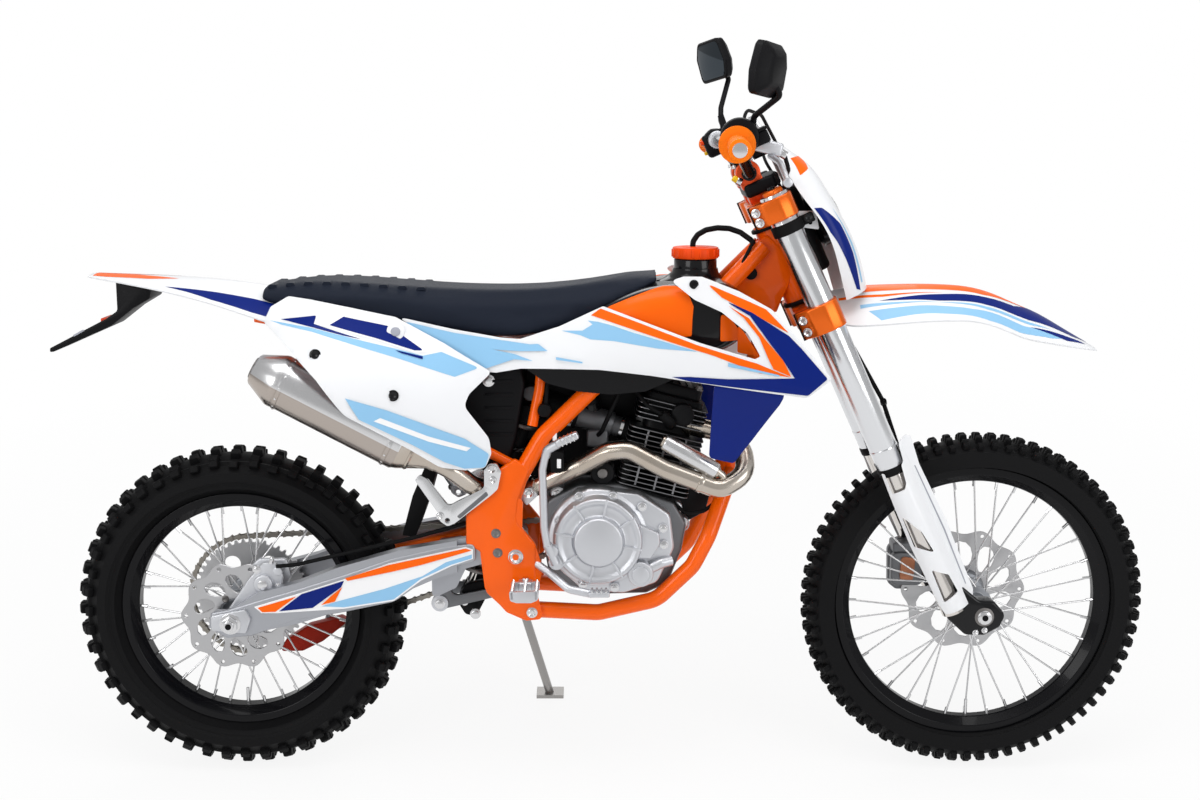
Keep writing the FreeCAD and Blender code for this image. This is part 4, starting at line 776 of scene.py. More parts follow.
def chain_places():
    """Evenly spaced places and headings round the chain's loop, seen from the right."""
    rear = Vector((0.0, rear_tyre_r))
    gap = drive - rear
    slope = math.atan2(gap.y, gap.x)
    step = rear_pitch_r - front_pitch_r
    spread = math.acos(step / gap.length)
    run = math.sqrt(gap.length ** 2 - step ** 2)
    front_arc = 2 * spread * front_pitch_r
    rear_arc = (2 * math.pi - 2 * spread) * rear_pitch_r
    total = 2 * run + front_arc + rear_arc
    count = 2 * round(total / chain_pitch / 2)
    places = []
    for i in range(count):
        s = total * i / count
        if s < run:
            angle = slope + spread
            at = rear + heading_at(angle) * rear_pitch_r + heading_at(angle - math.pi / 2) * s
        elif s < run + front_arc:
            angle = slope + spread - (s - run) / front_pitch_r
            at = drive + heading_at(angle) * front_pitch_r
        elif s < 2 * run + front_arc:
            angle = slope - spread
            at = drive + heading_at(angle) * front_pitch_r
            at += heading_at(angle - math.pi / 2) * (s - run - front_arc)
        else:
            angle = slope - spread - (s - 2 * run - front_arc) / rear_pitch_r
            at = rear + heading_at(angle) * rear_pitch_r
        places.append((at, angle - math.pi / 2))
    return places


def drive_chain():
    """Rollers and pairs of waisted plates, inner and outer by turns."""
    links = []
    rollers = []
    waist = [(-2, -5.6), (5, -3.6), (10.9, -3.6), (17.9, -5.6), (20.5, 0), (17.9, 5.6), (10.9, 3.6),
             (5, 3.6), (-2, 5.6), (-4.6, 0)]
    for i, (at, heading) in enumerate(chain_places()):
        turn = Matrix.Translation((at.x, chain_y, at.y)) @ Matrix.Rotation(-heading, 4, "Y")
        width = 7.2 if i % 2 else 5.0
        for side in (-1, 1):
            links.append(moved(slab(waist, side * width - 0.9, side * width + 0.9), turn))
        rollers.append(moved(pin(0, 0, -8.0, 8.0, 3.0, sides=8), turn))
    return piece(
        "drive_chain", "chassis", [(both_of(*links), chain_steel), (both_of(*rollers), dark_steel)], BIKE,
        ["chain"])


drive_chain()

# Bodywork on the sides

shroud_surface = moulded([
    (420, [(-116, 1050), (-120, 920), (-126, 840), (-126, 760)]),
    (600, [(-106, 1050), (-116, 920), (-130, 850), (-126, 760)]),
    (800, [(-122, 1050), (-146, 950), (-158, 870), (-150, 760)]),
    (1000, [(-140, 1050), (-168, 960), (-184, 870), (-180, 760)]),
    (1170, [(-160, 1050), (-180, 920), (-192, 830), (-190, 760)])])
shroud_outline = [
    (338, 936, 4), (449, 911, 30), (533, 896, 20), (571, 893, 20), (647, 918, 30), (729, 957, 6),
    (820, 925, 20), (910, 893, 20), (1012, 864, 4), (1022, 869, 4), (998, 912, 24), (950, 950, 20),
    (900, 972, 20), (856, 1006, 6), (880, 1014, 8), (914, 1014, 12), (936, 1006, 12), (983, 988, 30),
    (1044, 955, 40), (1089, 906, 40), (1156, 827, 6), (1110, 791, 20), (955, 811, 60), (820, 829, 40),
    (723, 838, 60), (573, 838, 30), (526, 830, 6), (500, 832, 4)]
decal_step = 0.35
panel_thick = 3.2


def decals(surface, layers):
    """Thin vinyl shapes laid on a moulded surface, each layer over the last."""
    parts = []
    for i, (shade, outline) in enumerate(layers):
        parts.append((sheet(outline, surface, decal_step * (i + 1)), shade))
    return parts


def panel_parts(outline, surface, layers):
    """A white panel on a moulded surface, with its decals."""
    return [(shell(outline, surface, panel_thick, 1.3), white_plastic)] + decals(surface, layers)


def shroud_parts():
    """The tank shroud: white plastic with navy, orange and light blue stripes."""
    layers = [
        (sky_vinyl, [
            (650, 910), (687, 902), (705, 895), (749, 893), (832, 881), (905, 877), (822, 900), (784, 910),
            (749, 921), (720, 928), (700, 930), (709, 923), (690, 911)]),
        (orange_vinyl, [
            (706, 940), (724, 953, 4), (800, 927), (905, 889), (1016, 856), (1050, 842), (1078, 831),
            (1021, 838), (934, 870), (860, 892)]),
        (orange_vinyl, [
            (921, 1003, 3), (954, 989), (1003, 969), (1032, 956, 12), (1074, 913), (1004, 949),
            (950, 977)]),
        (navy_vinyl, [
            (950, 974, 3), (1006, 950), (1074, 908, 8), (1098, 884), (1147, 828, 4), (1111, 796, 8),
            (962, 812), (892, 820), (858, 828), (892, 829), (962, 826), (1086, 829), (1062, 865),
            (1039, 894), (1002, 944)]),
        (orange_vinyl, [
            (962, 962), (990, 941), (1019, 905), (1036, 866), (1046, 846), (1079, 832), (1064, 862),
            (1032, 899), (1000, 940)]),
        (sky_vinyl, [(962, 857), (1057, 835), (1057, 832), (962, 850)]),
        (sky_vinyl, [
            (346, 929, 3), (449, 905), (533, 892), (548, 890), (590, 884), (606, 885), (624, 872),
            (570, 871), (520, 874), (560, 866), (596, 853), (560, 856), (506, 838), (476, 853),
            (420, 888)]),
        (sky_vinyl, [(640, 861), (690, 853), (690, 850), (640, 856)])]
    bolt = screw((899, shroud_surface(899, 1000), 1000), (0, -1, 0.2), 6.5, 4)
    return panel_parts(shroud_outline, shroud_surface, layers) + [(bolt, black_plastic)]


piece("tank_shrouds", "chassis", on_both(shroud_parts()), replaces=["shrouds"])

panel_surface = moulded([
    (80, [(-100, 1000), (-110, 940), (-120, 880), (-122, 740), (-122, 590)]),
    (160, [(-104, 1000), (-132, 930), (-176, 850), (-186, 720), (-186, 590)]),
    (300, [(-110, 1000), (-128, 940), (-176, 850), (-190, 740), (-186, 590)]),
    (420, [(-112, 1000), (-122, 920), (-152, 850), (-170, 740), (-160, 590)]),
    (540, [(-116, 1000), (-122, 910), (-128, 840), (-136, 740), (-136, 590)])])
panel_outline = [
    (84, 924, 10), (98, 954, 10), (132, 974, 12), (176, 968, 20), (250, 954, 20), (336, 936, 8),
    (430, 886, 10), (518, 832, 8), (476, 793, 24), (466, 770, 20), (512, 706, 30), (516, 676, 16),
    (504, 648, 14), (466, 646, 20), (420, 654, 40), (363, 692, 40), (246, 760, 60), (193, 828, 60),
    (121, 894, 40)]


def side_panel_parts():
    """The side panel with its stripes, the round boss on its upper edge and its two bolts."""
    layers = [(sky_vinyl, [(97, 929), (179, 918), (245, 903), (346, 878), (390, 866), (424, 872),
                           (495, 841, 4), (449, 826, 4), (346, 862), (245, 893), (181, 911), (120, 922)]),
              (navy_vinyl, [(119, 932), (188, 940, 3), (184, 925), (275, 898), (240, 905), (181, 919)]),
              (white_vinyl, [(200, 922), (238, 943, 3), (326, 925, 4), (356, 908, 6), (404, 872, 3),
                             (374, 872, 3), (300, 897)]),
              (navy_vinyl, [(214, 923), (240, 938, 3), (322, 921, 4), (350, 904, 6), (392, 875, 3),
                            (374, 876, 3), (300, 900)]),
              (navy_vinyl, [(338, 878), (390, 865), (390, 860), (350, 872)]),
              (sky_vinyl, [(249, 793), (324, 768), (400, 737), (466, 709), (512, 676, 6), (504, 650, 8),
                           (465, 650), (430, 664), (371, 700), (273, 752)]),
              (white_vinyl, [(300, 748), (400, 706), (470, 684), (478, 690), (400, 716), (312, 754)])]
    parts = panel_parts(panel_outline, panel_surface, layers)
    y = panel_surface(338, 910)
    parts.append((rod((338, y + 1, 910), (338, y - 4, 911), 17, sides=32, soft=1.5), white_plastic))
    parts.append((rod((338, y - 3, 910), (338, y - 5.5, 911), 9, sides=24, soft=0.8), grey_vinyl_and_crease_shade))
    for x, z in ((191, 871), (336, 795)):
        parts.append((screw((x, panel_surface(x, z), z), (0, -1, 0.1), 8.0, 4), gloss_black))
    return parts


piece("number_panels", "chassis", on_both(side_panel_parts()),
      replaces=["side_panels"])

scoop_surface = moulded([(900, [(-180, 850), (-154, 760), (-144, 640)]),
                         (1000, [(-204, 850), (-166, 760), (-148, 640)]),
                         (1100, [(-212, 850), (-178, 760), (-156, 640)])])
scoop_outline = [(937, 812, 6), (1071, 800, 10), (1060, 776, 8), (1013, 706, 20), (978, 658, 8),
                 (931, 668, 10)]


def tucked_scoop(x, z):
    """The scoop's face, kept behind the shroud's lower edge."""
    if z > 780:
        return max(scoop_surface(x, z), shroud_surface(x, z) + 4.5)
    return scoop_surface(x, z)


scoop = shell(scoop_outline, tucked_scoop, panel_thick, 1.2)
piece("radiator_scoops", "chassis", on_both([(scoop, navy_plastic)]),
      replaces=["lower_scoops"])

# Tank

tank_half, tank_low, tank_top, tank_corner = columns([
    (620, 60, 870, 905, 15), (700, 105, 860, 940, 30), (800, 132, 850, 985, 40), (900, 138, 860, 1000, 40),
    (985, 120, 885, 985, 30), (1010, 90, 905, 960, 20)])
neck_x = 910


def tank_ring(x):
    half = tank_half(x)
    low = tank_low(x)
    top = tank_top(x)
    radius = tank_corner(x)
    ring = corners([(-half, low, radius), (half, low, radius), (half, top, radius), (-half, top, radius)],
                   6)
    return [(x, p.x, p.y) for p in ring]


def round_tank(bm):
    """Lay a flat sheet round the tank: its height becomes the way up the side and over the shoulder."""
    for vert in bm.verts:
        x, out, reach = vert.co
        radius = tank_corner(x)
        turn = (reach - tank_top(x) + radius) / radius
        if turn > 0:
            side = tank_half(x) - radius + (radius - out) * math.cos(turn)
            vert.co = (x, -side, tank_top(x) - radius + (radius - out) * math.sin(turn))
        else:
            vert.co = (x, -tank_half(x) + out, reach)
    bmesh.ops.recalc_face_normals(bm, faces=bm.faces[:])
    return bm


def tank_parts():
    """Black tank with a filler neck, and orange side inserts framed by it."""
    body = loft([tank_ring(x) for x in range(622, 1009, 7)])
    neck = rod((neck_x, 0, 1006), (neck_x, 0, 1036), 42, sides=48, soft=2)
    flares = []
    for level, flare in ((975, 44), (990, 30), (1000, 12), (1010, 2), (1018, 0)):
        flares.append([(neck_x - flare * 0.35 + (44 + flare) * c, (44 + flare * 0.6) * s, level)
                       for c, s in circle(0, 0, 1, 40)])
    rear_insert = [
        (706, 930, 6), (742, 956, 6), (782, 974, 20), (842, 1000, 10), (866, 998, 8), (888, 982, 8),
        (899, 958, 6), (897, 934, 6), (896, 902, 4), (800, 890, 10), (720, 880, 4)]
    front_insert = [(950, 946, 6), (972, 932, 10), (986, 912, 20), (992, 892, 4), (950, 892, 4)]
    inserts = [round_tank(shell(insert, lambda x, reach: 0.0, 3.0, 0.8, 8, 4.2))
               for insert in (rear_insert, front_insert)]
    inserts.append(slab([(984, 922, 4), (1000, 902, 8), (1026, 860, 4), (984, 868, 4)], -124, -121, 0.8))
    return ([(form, gloss_black) for form in (body, neck, loft(flares))]
            + on_both([(insert, orange_vinyl) for insert in inserts]))


piece("tank", "chassis", tank_parts(), replaces=["fuel_tank"])


def cap_parts():
    """The filler cap with grip ridges round its rim."""
    forms = [rod((neck_x, 0, 1037), (neck_x, 0, 1059), 45, sides=48, soft=2.5)]
    for x, y in circle(neck_x, 0, 44.6, 18):
        forms.append(rod((x, y, 1040), (x, y, 1055), 2.6, sides=8, soft=0.6))
    forms.append(rod((neck_x, 0, 1058), (neck_x, 0, 1060), 26, sides=32, soft=0.8))
    return [(both_of(*forms), cap_red)]


piece("filler_cap", "chassis", cap_parts(), replaces=["tank_cap"])

# Seat

seat_half, seat_low, seat_top = columns([
    (70, 78, 962, 984), (160, 100, 945, 993), (330, 108, 925, 987), (500, 100, 896, 978),
    (610, 96, 900, 980), (720, 92, 942, 993), (835, 70, 1003, 1017)])
seat_rounding = 22
seat_swell = 0.0045


def seat_form():
    """The foam's form: domed over its width, with a firm lower edge."""
    rings = []
    for x in range(72, 834, 20):
        half = seat_half(x)
        low = seat_low(x)
        top = seat_top(x)
        drop = min(seat_rounding, (top - low) * 0.45)
        ring = corners([(-half, low, 4), (half, low, 4), (half - 3, top - drop, drop),
                        (half * 0.62, top, 30), (-half * 0.62, top, 30), (-half + 3, top - drop, drop)], 4)
        rings.append([(x, p.x, p.y) for p in ring])
    return loft(rings)


def padded_seat():
    """The seat, puffed slightly by its foam."""
    made = piece("padded_seat", "chassis", [(seat_form(), seat_cover)],
                 replaces=["seat"])
    remesh = made.modifiers.new("cover", "REMESH")
    remesh.mode = "VOXEL"
    remesh.voxel_size = 0.006
    remesh.use_smooth_shade = True
    bpy.context.view_layer.objects.active = made
    bpy.ops.object.modifier_apply(modifier=remesh.name)
    before = [vert.co.copy() for vert in made.data.vertices]
    cloth = made.modifiers.new("foam", "CLOTH")
    cloth.settings.quality = 6
    cloth.settings.mass = 0.3
    cloth.settings.tension_stiffness = 40
    cloth.settings.compression_stiffness = 40
    cloth.settings.bending_stiffness = 8
    cloth.settings.use_pressure = True
    cloth.settings.uniform_pressure_force = 3
    cloth.settings.effector_weights.gravity = 0
    cloth.point_cache.frame_start = 1
    cloth.point_cache.frame_end = 14
    for number in range(1, 15):
        bpy.context.scene.frame_set(number)
    bpy.ops.object.modifier_apply(modifier=cloth.name)
    bpy.context.scene.frame_set(1)
    for vert, start in zip(made.data.vertices, before):
        step = vert.co - start
        if step.length > seat_swell:
            vert.co = start + step.normalized() * seat_swell
    smooth = made.modifiers.new("smooth", "SMOOTH")
    smooth.factor = 0.5
    smooth.iterations = 6
    bpy.ops.object.modifier_apply(modifier=smooth.name)


padded_seat()


def seat_ribs():
    """Raised bars across the rear half of the seat."""
    profile = corners([(-9, -3, 1), (9, -3, 1), (7, 3.2, 3), (-7, 3.2, 3)], 3)
    ribs = []
    for i in range(9):
        x = 92 + 36 * i
        half = seat_half(x) * 0.72
        level = seat_top(x) + 1.0
        ribs.append(loft([[(x + p.x, half * share, level + p.y) for p in profile]
                          for share in (-1, -0.5, 0, 0.5, 1)]))
    return piece("seat_ribs", "chassis", [(both_of(*ribs), seat_cover)])


seat_ribs()

# Mudguards

guard_thick = 4.0
guard_cell = 14.0
guard_spans = 18


def arch(sections):
    """An arched mudguard through (x, half width, crown height, drop) sections."""
    half_at, crown_at, drop_at = columns(sections)
    start = sections[0][0]
    run = sections[-1][0] - start
    steps = int(run / guard_cell)
    rings = []
    for i in range(steps + 1):
        x = start + run * i / steps
        top = []
        for k in range(guard_spans + 1):
            share = -1 + 2 * k / guard_spans
            top.append((x, half_at(x) * share, crown_at(x) - drop_at(x) * share * share))
        rings.append(top + [(px, py * 0.985, pz - guard_thick) for px, py, pz in reversed(top)])
    return softened(loft(rings), 1.2, least=60)


def arch_decal(sections, outline, lift):
    """A decal on an arched mudguard, its outline given as (x, share of the half width)."""
    half_at, crown_at, drop_at = columns(sections)
    bm = gridded(flat([(x, half_at(x) * share, 0) for x, share in outline]), (0, 1), guard_cell)
    for vert in bm.verts:
        x, y = vert.co.xy
        vert.co.z = crown_at(x) - drop_at(x) * (y / half_at(x)) ** 2 + lift
    return facing(bm, (0, 0, 1))


def mudguard_parts(sections, marks):
    """A white mudguard with decals on both flanks, each (finish, layer, outline)."""
    laid = [(arch_decal(sections, outline, layer * decal_step), shade) for shade, layer, outline in marks]
    return [(arch(sections), white_plastic)] + on_both(laid)


tail_sections = [(-271, 34, 1008, 3), (-140, 78, 1003, 16), (-20, 98, 996, 36), (70, 108, 984, 52),
                 (140, 112, 972, 62)]


tail_marks = [(orange_vinyl, 1, [(-262, -0.02), (-184, -0.04), (-96, -0.30), (-150, -0.50), (-235, -0.72),
                                 (-262, -0.8)]),
              (navy_vinyl, 2, [(-112, -0.84), (-17, -0.71), (60, -0.66), (100, -0.67), (128, -0.74),
                               (128, -0.93), (60, -0.94), (-20, -0.93)])]
piece("tail_mudguard", "chassis", mudguard_parts(tail_sections, tail_marks),
      replaces=["rear_fender"])

# Steering plastics

fender_sections = [
    (1150, 64, 966, 28), (1190, 80, 976, 58), (1230, 90, 982, 66), (1290, 97, 985, 64),
    (1350, 100, 986, 60), (1391, 98, 985, 58), (1441, 95, 981, 56), (1492, 90, 968, 57),
    (1541, 82, 947, 56), (1580, 74, 930, 48), (1633, 60, 900, 28), (1694, 38, 865, 3)]


fender_marks = [
    (orange_vinyl, 1, [(1232, -0.38), (1469, -0.36), (1560, -0.10), (1560, 0.02), (1232, 0.02)]),
    (orange_vinyl, 1, [(1186, -0.56), (1270, -0.53), (1390, -0.44), (1270, -0.47), (1186, -0.49)]),
    (navy_vinyl, 2, [
        (1262, -0.62), (1376, -0.50), (1469, -0.44), (1530, -0.34), (1566, -0.04), (1650, -0.02),
        (1682, -0.3), (1650, -0.52), (1555, -0.62), (1469, -0.65), (1376, -0.66)]),
    (sky_vinyl, 1, [
        (1225, -0.68), (1376, -0.69), (1469, -0.69), (1555, -0.67), (1600, -0.66), (1555, -0.73),
        (1469, -0.75), (1225, -0.75)]),
    (sky_vinyl, 1, [
        (1240, -0.80), (1440, -0.80), (1540, -0.80), (1610, -0.74), (1650, -0.74), (1600, -0.9),
        (1530, -0.95), (1470, -0.95), (1262, -0.95)]),
    (navy_vinyl, 2, [(1556, -0.78), (1600, -0.72), (1660, -0.66), (1672, -0.74), (1632, -0.86)])]
piece("front_mudguard", "steering", mudguard_parts(fender_sections, fender_marks),
      replaces=["front_fender"])

# Frame


def pivot_plate_parts():
    """The smooth cast plates round the swingarm pivot, with their bolts."""
    plate = casting([
        (506, 590, 14), (463, 548, 8), (462, 489, 10), (491, 474, 12), (493, 444, 10), (500, 392, 16),
        (541, 352, 18), (580, 336, 12), (610, 345, 10), (598, 398, 16), (598, 424, 16), (600, 486, 26),
        (560, 536, 30), (566, 580, 14), (588, 640, 10), (558, 660, 10), (530, 640, 14)], -116, -100, 5)
    parts = on_both([(plate, orange_paint)])
    for side in (-1, 1):
        for x, z, radius, height, shade in ((559, 465, 11, 7, bright_steel), (521, 512, 7, 3, dark_steel),
                                            (524, 473, 7, 3, dark_steel), (590, 352, 8, 5, bright_steel)):
            parts.append((screw((x, side * 116, z), (0, side, 0), radius, height), shade))
    return parts


piece("pivot_plate_covers", "chassis", pivot_plate_parts())


def headstock_parts():
    """Gusset skins between head tube, spars and down tube, with bearing rings and a rubber stop."""
    skin = slab([(1046, 1086, 8), (1101, 1036, 12), (1090, 985, 20), (1060, 925, 12), (1030, 905, 10),
                 (1000, 935, 20), (978, 985, 20), (1000, 1040, 14)], -31, -24, 3)
    bearing = pitched((1038, 0, 1131), -24.5)
    rings = [moved(rod((0, 0, level), (0, 0, level + 8), 36, soft=2), bearing) for level in (-38, -196)]
    stop = rod((1016, -30, 1010), (1016, -40, 1010), 12, soft=3)
    return on_both([(skin, orange_paint)]) + [(both_of(*rings, stop), black_rubber)]


piece("headstock_skins", "chassis", headstock_parts())

# Engine

engine_tilt = pitched((822, 0, 572), 14) @ Matrix.Translation((-822, 0, -572))
upright = Matrix(((1, 0, 0, 0), (0, 0, 1, 0), (0, 1, 0, 0), (0, 0, 0, 1)))


def plan(outline, z0, z1, soft=0.0, segments=2):
    """A plate drawn in the top view, between two levels."""
    bm = moved(slab(outline, z0, z1, soft, segments=segments), upright)
    bmesh.ops.reverse_faces(bm, faces=bm.faces[:])
    return bm


def rectangle(x0, x1, y0, y1, corner):
    return [(x0, y0, corner), (x1, y0, corner), (x1, y1, corner), (x0, y1, corner)]


def cylinder_parts():
    """The air-cooled barrel and head: thin fins with bright edges, a ribbed cover and the plug's boot."""
    dark = [plan(rectangle(776, 868, -46, 46, 20), 572, 722, 3)]
    edges = []

    def fin(x0, x1, half, corner, z):
        edge = rectangle(x0 - 0.5, x1 + 0.5, -half - 0.5, half + 0.5, corner + 0.5)
        dark.append(plan(rectangle(x0, x1, -half, half, corner), z, z + 3.2, 0.8, segments=1))
        edges.append(plan(edge, z + 0.8, z + 2.3))

    for i in range(13):
        half = 72 if i < 9 else 74
        fin(822 - half, 822 + half, half, 18, 586 + 9.6 * i)
    for x in (786, 824, 862):
        for y0 in (-73.6, 70):
            edges.append(block((x - 2, y0, 590), (x + 2, y0 + 3.6, 702), 0.8))
    for i in range(5):
        fin(754, 890, 66, 14, 722 + 9.5 * i)
    dark.append(plan(rectangle(764, 880, -54, 54, 16), 720, 776, 4))
    dark.append(plan(rectangle(772, 872, -46, 46, 14), 774, 800, 6, segments=3))
    dark.append(pin(842, 748, -80, -50, 22, 3))
    dark += [block((778 + 15 * i, -40, 798), (782 + 15 * i, 40, 803), 1.2) for i in range(7)]
    bolts = [screw((x, y, 799), (0, 0, 1), 6, 6, True) for x in (780, 864) for y in (-38, 38)]
    boot = pipe([(824, -62, 722), (824, -84, 730), (800, -88, 742)], 11, 12)
    lead = pipe([(804, -88, 741), (770, -90, 752), (742, -70, 772), (724, -40, 800)], 4, 24, 10)
    shades = ((dark, engine_black), (edges, fin_edge), (bolts, dark_steel), ((boot, lead), black_rubber))
    return [(moved(both_of(*forms), engine_tilt), shade) for forms, shade in shades]


piece("finned_cylinder", "chassis", cylinder_parts(), replaces=["cylinder"], crease=30)

clutch = Matrix.Translation((720, 0, 500))


def clutch_cover_parts():
    """The clutch cover: a smooth cap in a ring of ribs, its box and filler, and the bolts round its rim."""
    ring = lathe([(0, -70), (99, -70), (99, -104), (96, -109), (88, -111), (85, -132), (82, -136),
                  (76, -136), (70, -131), (52, -131), (50, -134), (48, -143), (45, -146), (0, -146)], 96)
    forms = [softened(moved(ring, clutch), 1.2, segments=1)]
    for i in range(8):
        turn = Matrix.Rotation(2 * math.pi * i / 8 + 0.2, 4, "Y")
        forms.append(moved(block((47, -137, -2.4), (86, -120, 2.4), 1.5), clutch @ turn))
    housing = casting([(640, 560, 24), (700, 600, 30), (800, 588, 24), (860, 548, 24), (868, 480, 24),
                       (836, 410, 24), (770, 388, 20), (690, 394, 30), (640, 440, 30)], -108, -68, 6)
    box = casting([(784, 538, 6), (838, 514, 8), (840, 492, 8), (822, 462, 8), (784, 462, 6)],
                  -124, -100, 4)
    filler = softened(pin(802, 433, -132, -100, 25), 3, segments=3)
    filler_top = pin(802, 433, -136, -130, 17, 2)
    neck = pipe([(802, -116, 433), (842, -112, 452), (862, -104, 455)], 11, 10)
    kick_hub = pin(639, 459, -136, -100, 16, 3)
    forms += [housing, box, filler, filler_top, neck, kick_hub]
    rim = ((683, 584), (748, 585), (805, 564), (644, 536), (846, 521), (848, 488), (838, 446), (690, 409),
           (752, 402))
    forms += [pin(x, z, -113, -70, 10, 1.5) for x, z in rim]
    return [(both_of(*forms), cast_silver), (screws(rim, -113, 6.0, 6, True), bright_steel)]


piece("clutch_cover", "chassis", clutch_cover_parts())


def crankcase_parts():
    """The dark cast cases behind the covers, with their joint flange, mounting lugs and starter."""
    outline = [
        (614, 470, 30), (618, 566, 20), (680, 598, 20), (760, 600, 16), (868, 562, 14), (893, 520, 12),
        (884, 466, 12), (858, 398, 20), (815, 378, 14), (670, 374, 20), (624, 408, 20)]
    case = casting(outline, -73, 61, 6)
    flange = slab([(x + (5 if x > 760 else -5), z + (5 if z > 490 else -5), r) for x, z, r in outline],
                  -6, 4, 2)
    mounts = ((872, 544), (886, 512), (640, 574))
    lugs = [pin(x, z, -46, 46, 15, 3) for x, z in mounts]
    bolts = screws(mounts, -47, 9, 8, True)
    starter = softened(pin(728, 622, -72, 40, 24), 5, segments=3)
    starter_cap = pin(728, 622, -77, -70, 10, 2)
    plug = pin(626, 486, -90, -60, 13, 3)
    return [(both_of(case, flange), cast_grey), (both_of(*lugs), cast_silver), (bolts, bright_steel),
            (starter, engine_black), (starter_cap, dark_steel), (plug, black_rubber)]


piece("crankcases", "chassis", crankcase_parts(), replaces=["crankcase"])


def left_cover_parts():
    """Generator cover, its bolts and the guard over the drive sprocket."""
    dome = lathe([(0, 58), (87, 58), (87, 72), (82, 78), (70, 82), (60, 88), (52, 90), (48, 98), (0, 98)],
                 96)
    dome = softened(moved(dome, Matrix.Translation((742, 0, 500))), 1.5)
    bolts = screws(circle(742, 500, 78, 7), 79, 5.5, 6, True)
    inspection = pin(742, 500, 96, 102, 16, 2)
    front = casting([(782, 580, 20), (867, 560, 20), (892, 490, 20), (862, 410, 24), (802, 382, 24),
                     (742, 440, 10)], 58, 76, 4)
    return [(both_of(dome, front, inspection), cast_silver), (bolts, bright_steel)]


piece("left_covers", "chassis", left_cover_parts(), replaces=["engine_covers"])


def intake_parts():
    """Carburettor, its rubber inlet and the boot to the airbox, with clamps, cable and fuel hose."""
    body = rod((676, -4, 728), (748, -4, 706), 25, soft=3)
    mouth = rod((664, -4, 732), (680, -4, 727), 31, soft=4)
    throat = rod((738, -4, 708), (772, -8, 700), 20, soft=2)
    rubber = rod((768, -8, 701), (800, -8, 690), 24, soft=4)
    bowl = block((696, -28, 664), (740, 20, 700), 6, 3)
    cap = rod((708, -4, 726), (700, -4, 772), 19, soft=4)
    cap_ring = rod((704, -4, 748), (702, -4, 758), 21, soft=1)
    boot = pipe([(668, -4, 730), (650, 6, 736), (600, 34, 752), (540, 40, 756)], 26, 30, 24)
    cable = pipe([(700, -4, 770), (696, -14, 812), (760, -30, 880), (880, -36, 960)], 3.6, 40, 10)
    strap = rod((762, -7, 703), (768, -7, 701), 25.6)
    strap_back = rod((672, -4, 729.5), (666, -4, 731.5), 32.4)
    fuel = pipe([(720, -28, 690), (726, -52, 700), (752, -60, 760), (780, -58, 830)], 4.5, 20, 12)
    return [
        (both_of(body, throat, bowl), cast_grey), (both_of(mouth, rubber, boot, cable, fuel), black_rubber),
        (cap, gloss_black), (cap_ring, black_plastic), (both_of(strap, strap_back), bright_steel)]


piece("carburettor_set", "chassis", intake_parts(), replaces=["carburettor"])


def airbox_parts():
    """The black airbox behind the side panels, with the flap over the shock and skirts below the seat."""
    form = casting([(330, 866, 20), (470, 846, 14), (572, 838, 10), (578, 800, 14), (560, 690, 20),
                    (536, 612, 14), (470, 640, 16), (420, 630, 20), (350, 720, 40)], -86, 86, 8)
    ribs = [block((500, -88, 700 + 26 * i), (556, -84, 706 + 26 * i), 1.5) for i in range(5)]
    flap = slab([(404, 690, 3), (352, 570, 20), (330, 490, 3), (356, 486, 3), (382, 556, 20),
                 (420, 690, 3)], -48, 48, 1.5)
    bolt = screw((508, -86, 808), (0, -1, 0), 9, 7, True)
    skirt = extruded(sheet([(560, 846, 6), (586, 833, 20), (621, 808, 20), (681, 792, 30), (744, 786, 30),
                            (810, 792, 20), (870, 818, 10), (850, 840)], lambda x, z: -118.0), (0, 30, 0))
    return [(both_of(form, *ribs), black_plastic), (flap, black_rubber),
            (bolt, bright_steel)] + on_both([(skirt, gloss_black)])


piece("airbox_and_flap", "chassis", airbox_parts(), replaces=["airbox"])


def inner_cover_parts():
    """The black covers and battery box between the spars, behind the shock and the carburettor."""
    upper = casting([(480, 858, 10), (880, 858, 10), (884, 760, 20), (800, 716, 20), (640, 706, 20),
                     (560, 690, 14), (500, 700, 14)], 24, 72, 6)
    lower = casting([(548, 716, 10), (770, 716, 10), (772, 600, 10), (700, 580, 14), (612, 560, 14),
                     (580, 600, 14)], 20, 56, 6)
    front = casting([(858, 606, 8), (948, 588, 8), (934, 530, 10), (890, 506, 10), (868, 540, 10)],
                    -16, 16, 4)
    return [(both_of(upper, lower), black_plastic), (front, engine_black)]


piece("inner_covers", "chassis", inner_cover_parts())


def connector_parts():
    """Electrical connectors strapped to the frame, with their loom."""
    first = slab([(623, 687, 4), (626, 717, 5), (646, 719, 5), (646, 691, 4)], -108, -82, 3)
    second = slab([(628, 629, 4), (626, 673, 5), (653, 671, 5), (653, 633, 4)], -108, -80, 3)
    tags = [block((632, -109.5, 694), (640, -107.5, 712), 0.8),
            block((640, -109.5, 640), (648, -107.5, 658), 0.8)]
    loom = pipe([(630, -92, 716), (618, -90, 758), (622, -76, 812), (680, -60, 862)], 4.5, 24, 10)
    second_loom = pipe([(636, -92, 716), (652, -84, 760), (700, -60, 800), (780, -50, 850)], 4, 24, 10)
    lock = pin(616, 752, -106, -84, 13, 3)
    return [(both_of(first, second, loom, second_loom, lock), black_rubber), (both_of(*tags), white_vinyl)]


piece("wiring", "chassis", connector_parts())

# Exhaust

header_route = [
    (890, -34, 712), (950, -52, 702), (1003, -68, 672), (1006, -106, 628), (955, -122, 600),
    (850, -120, 640), (778, -112, 678), (738, -104, 672), (690, -86, 642), (616, -66, 604), (560, -60, 582),
    (518, -66, 582), (474, -106, 606), (437, -125, 641), (398, -125, 662)]


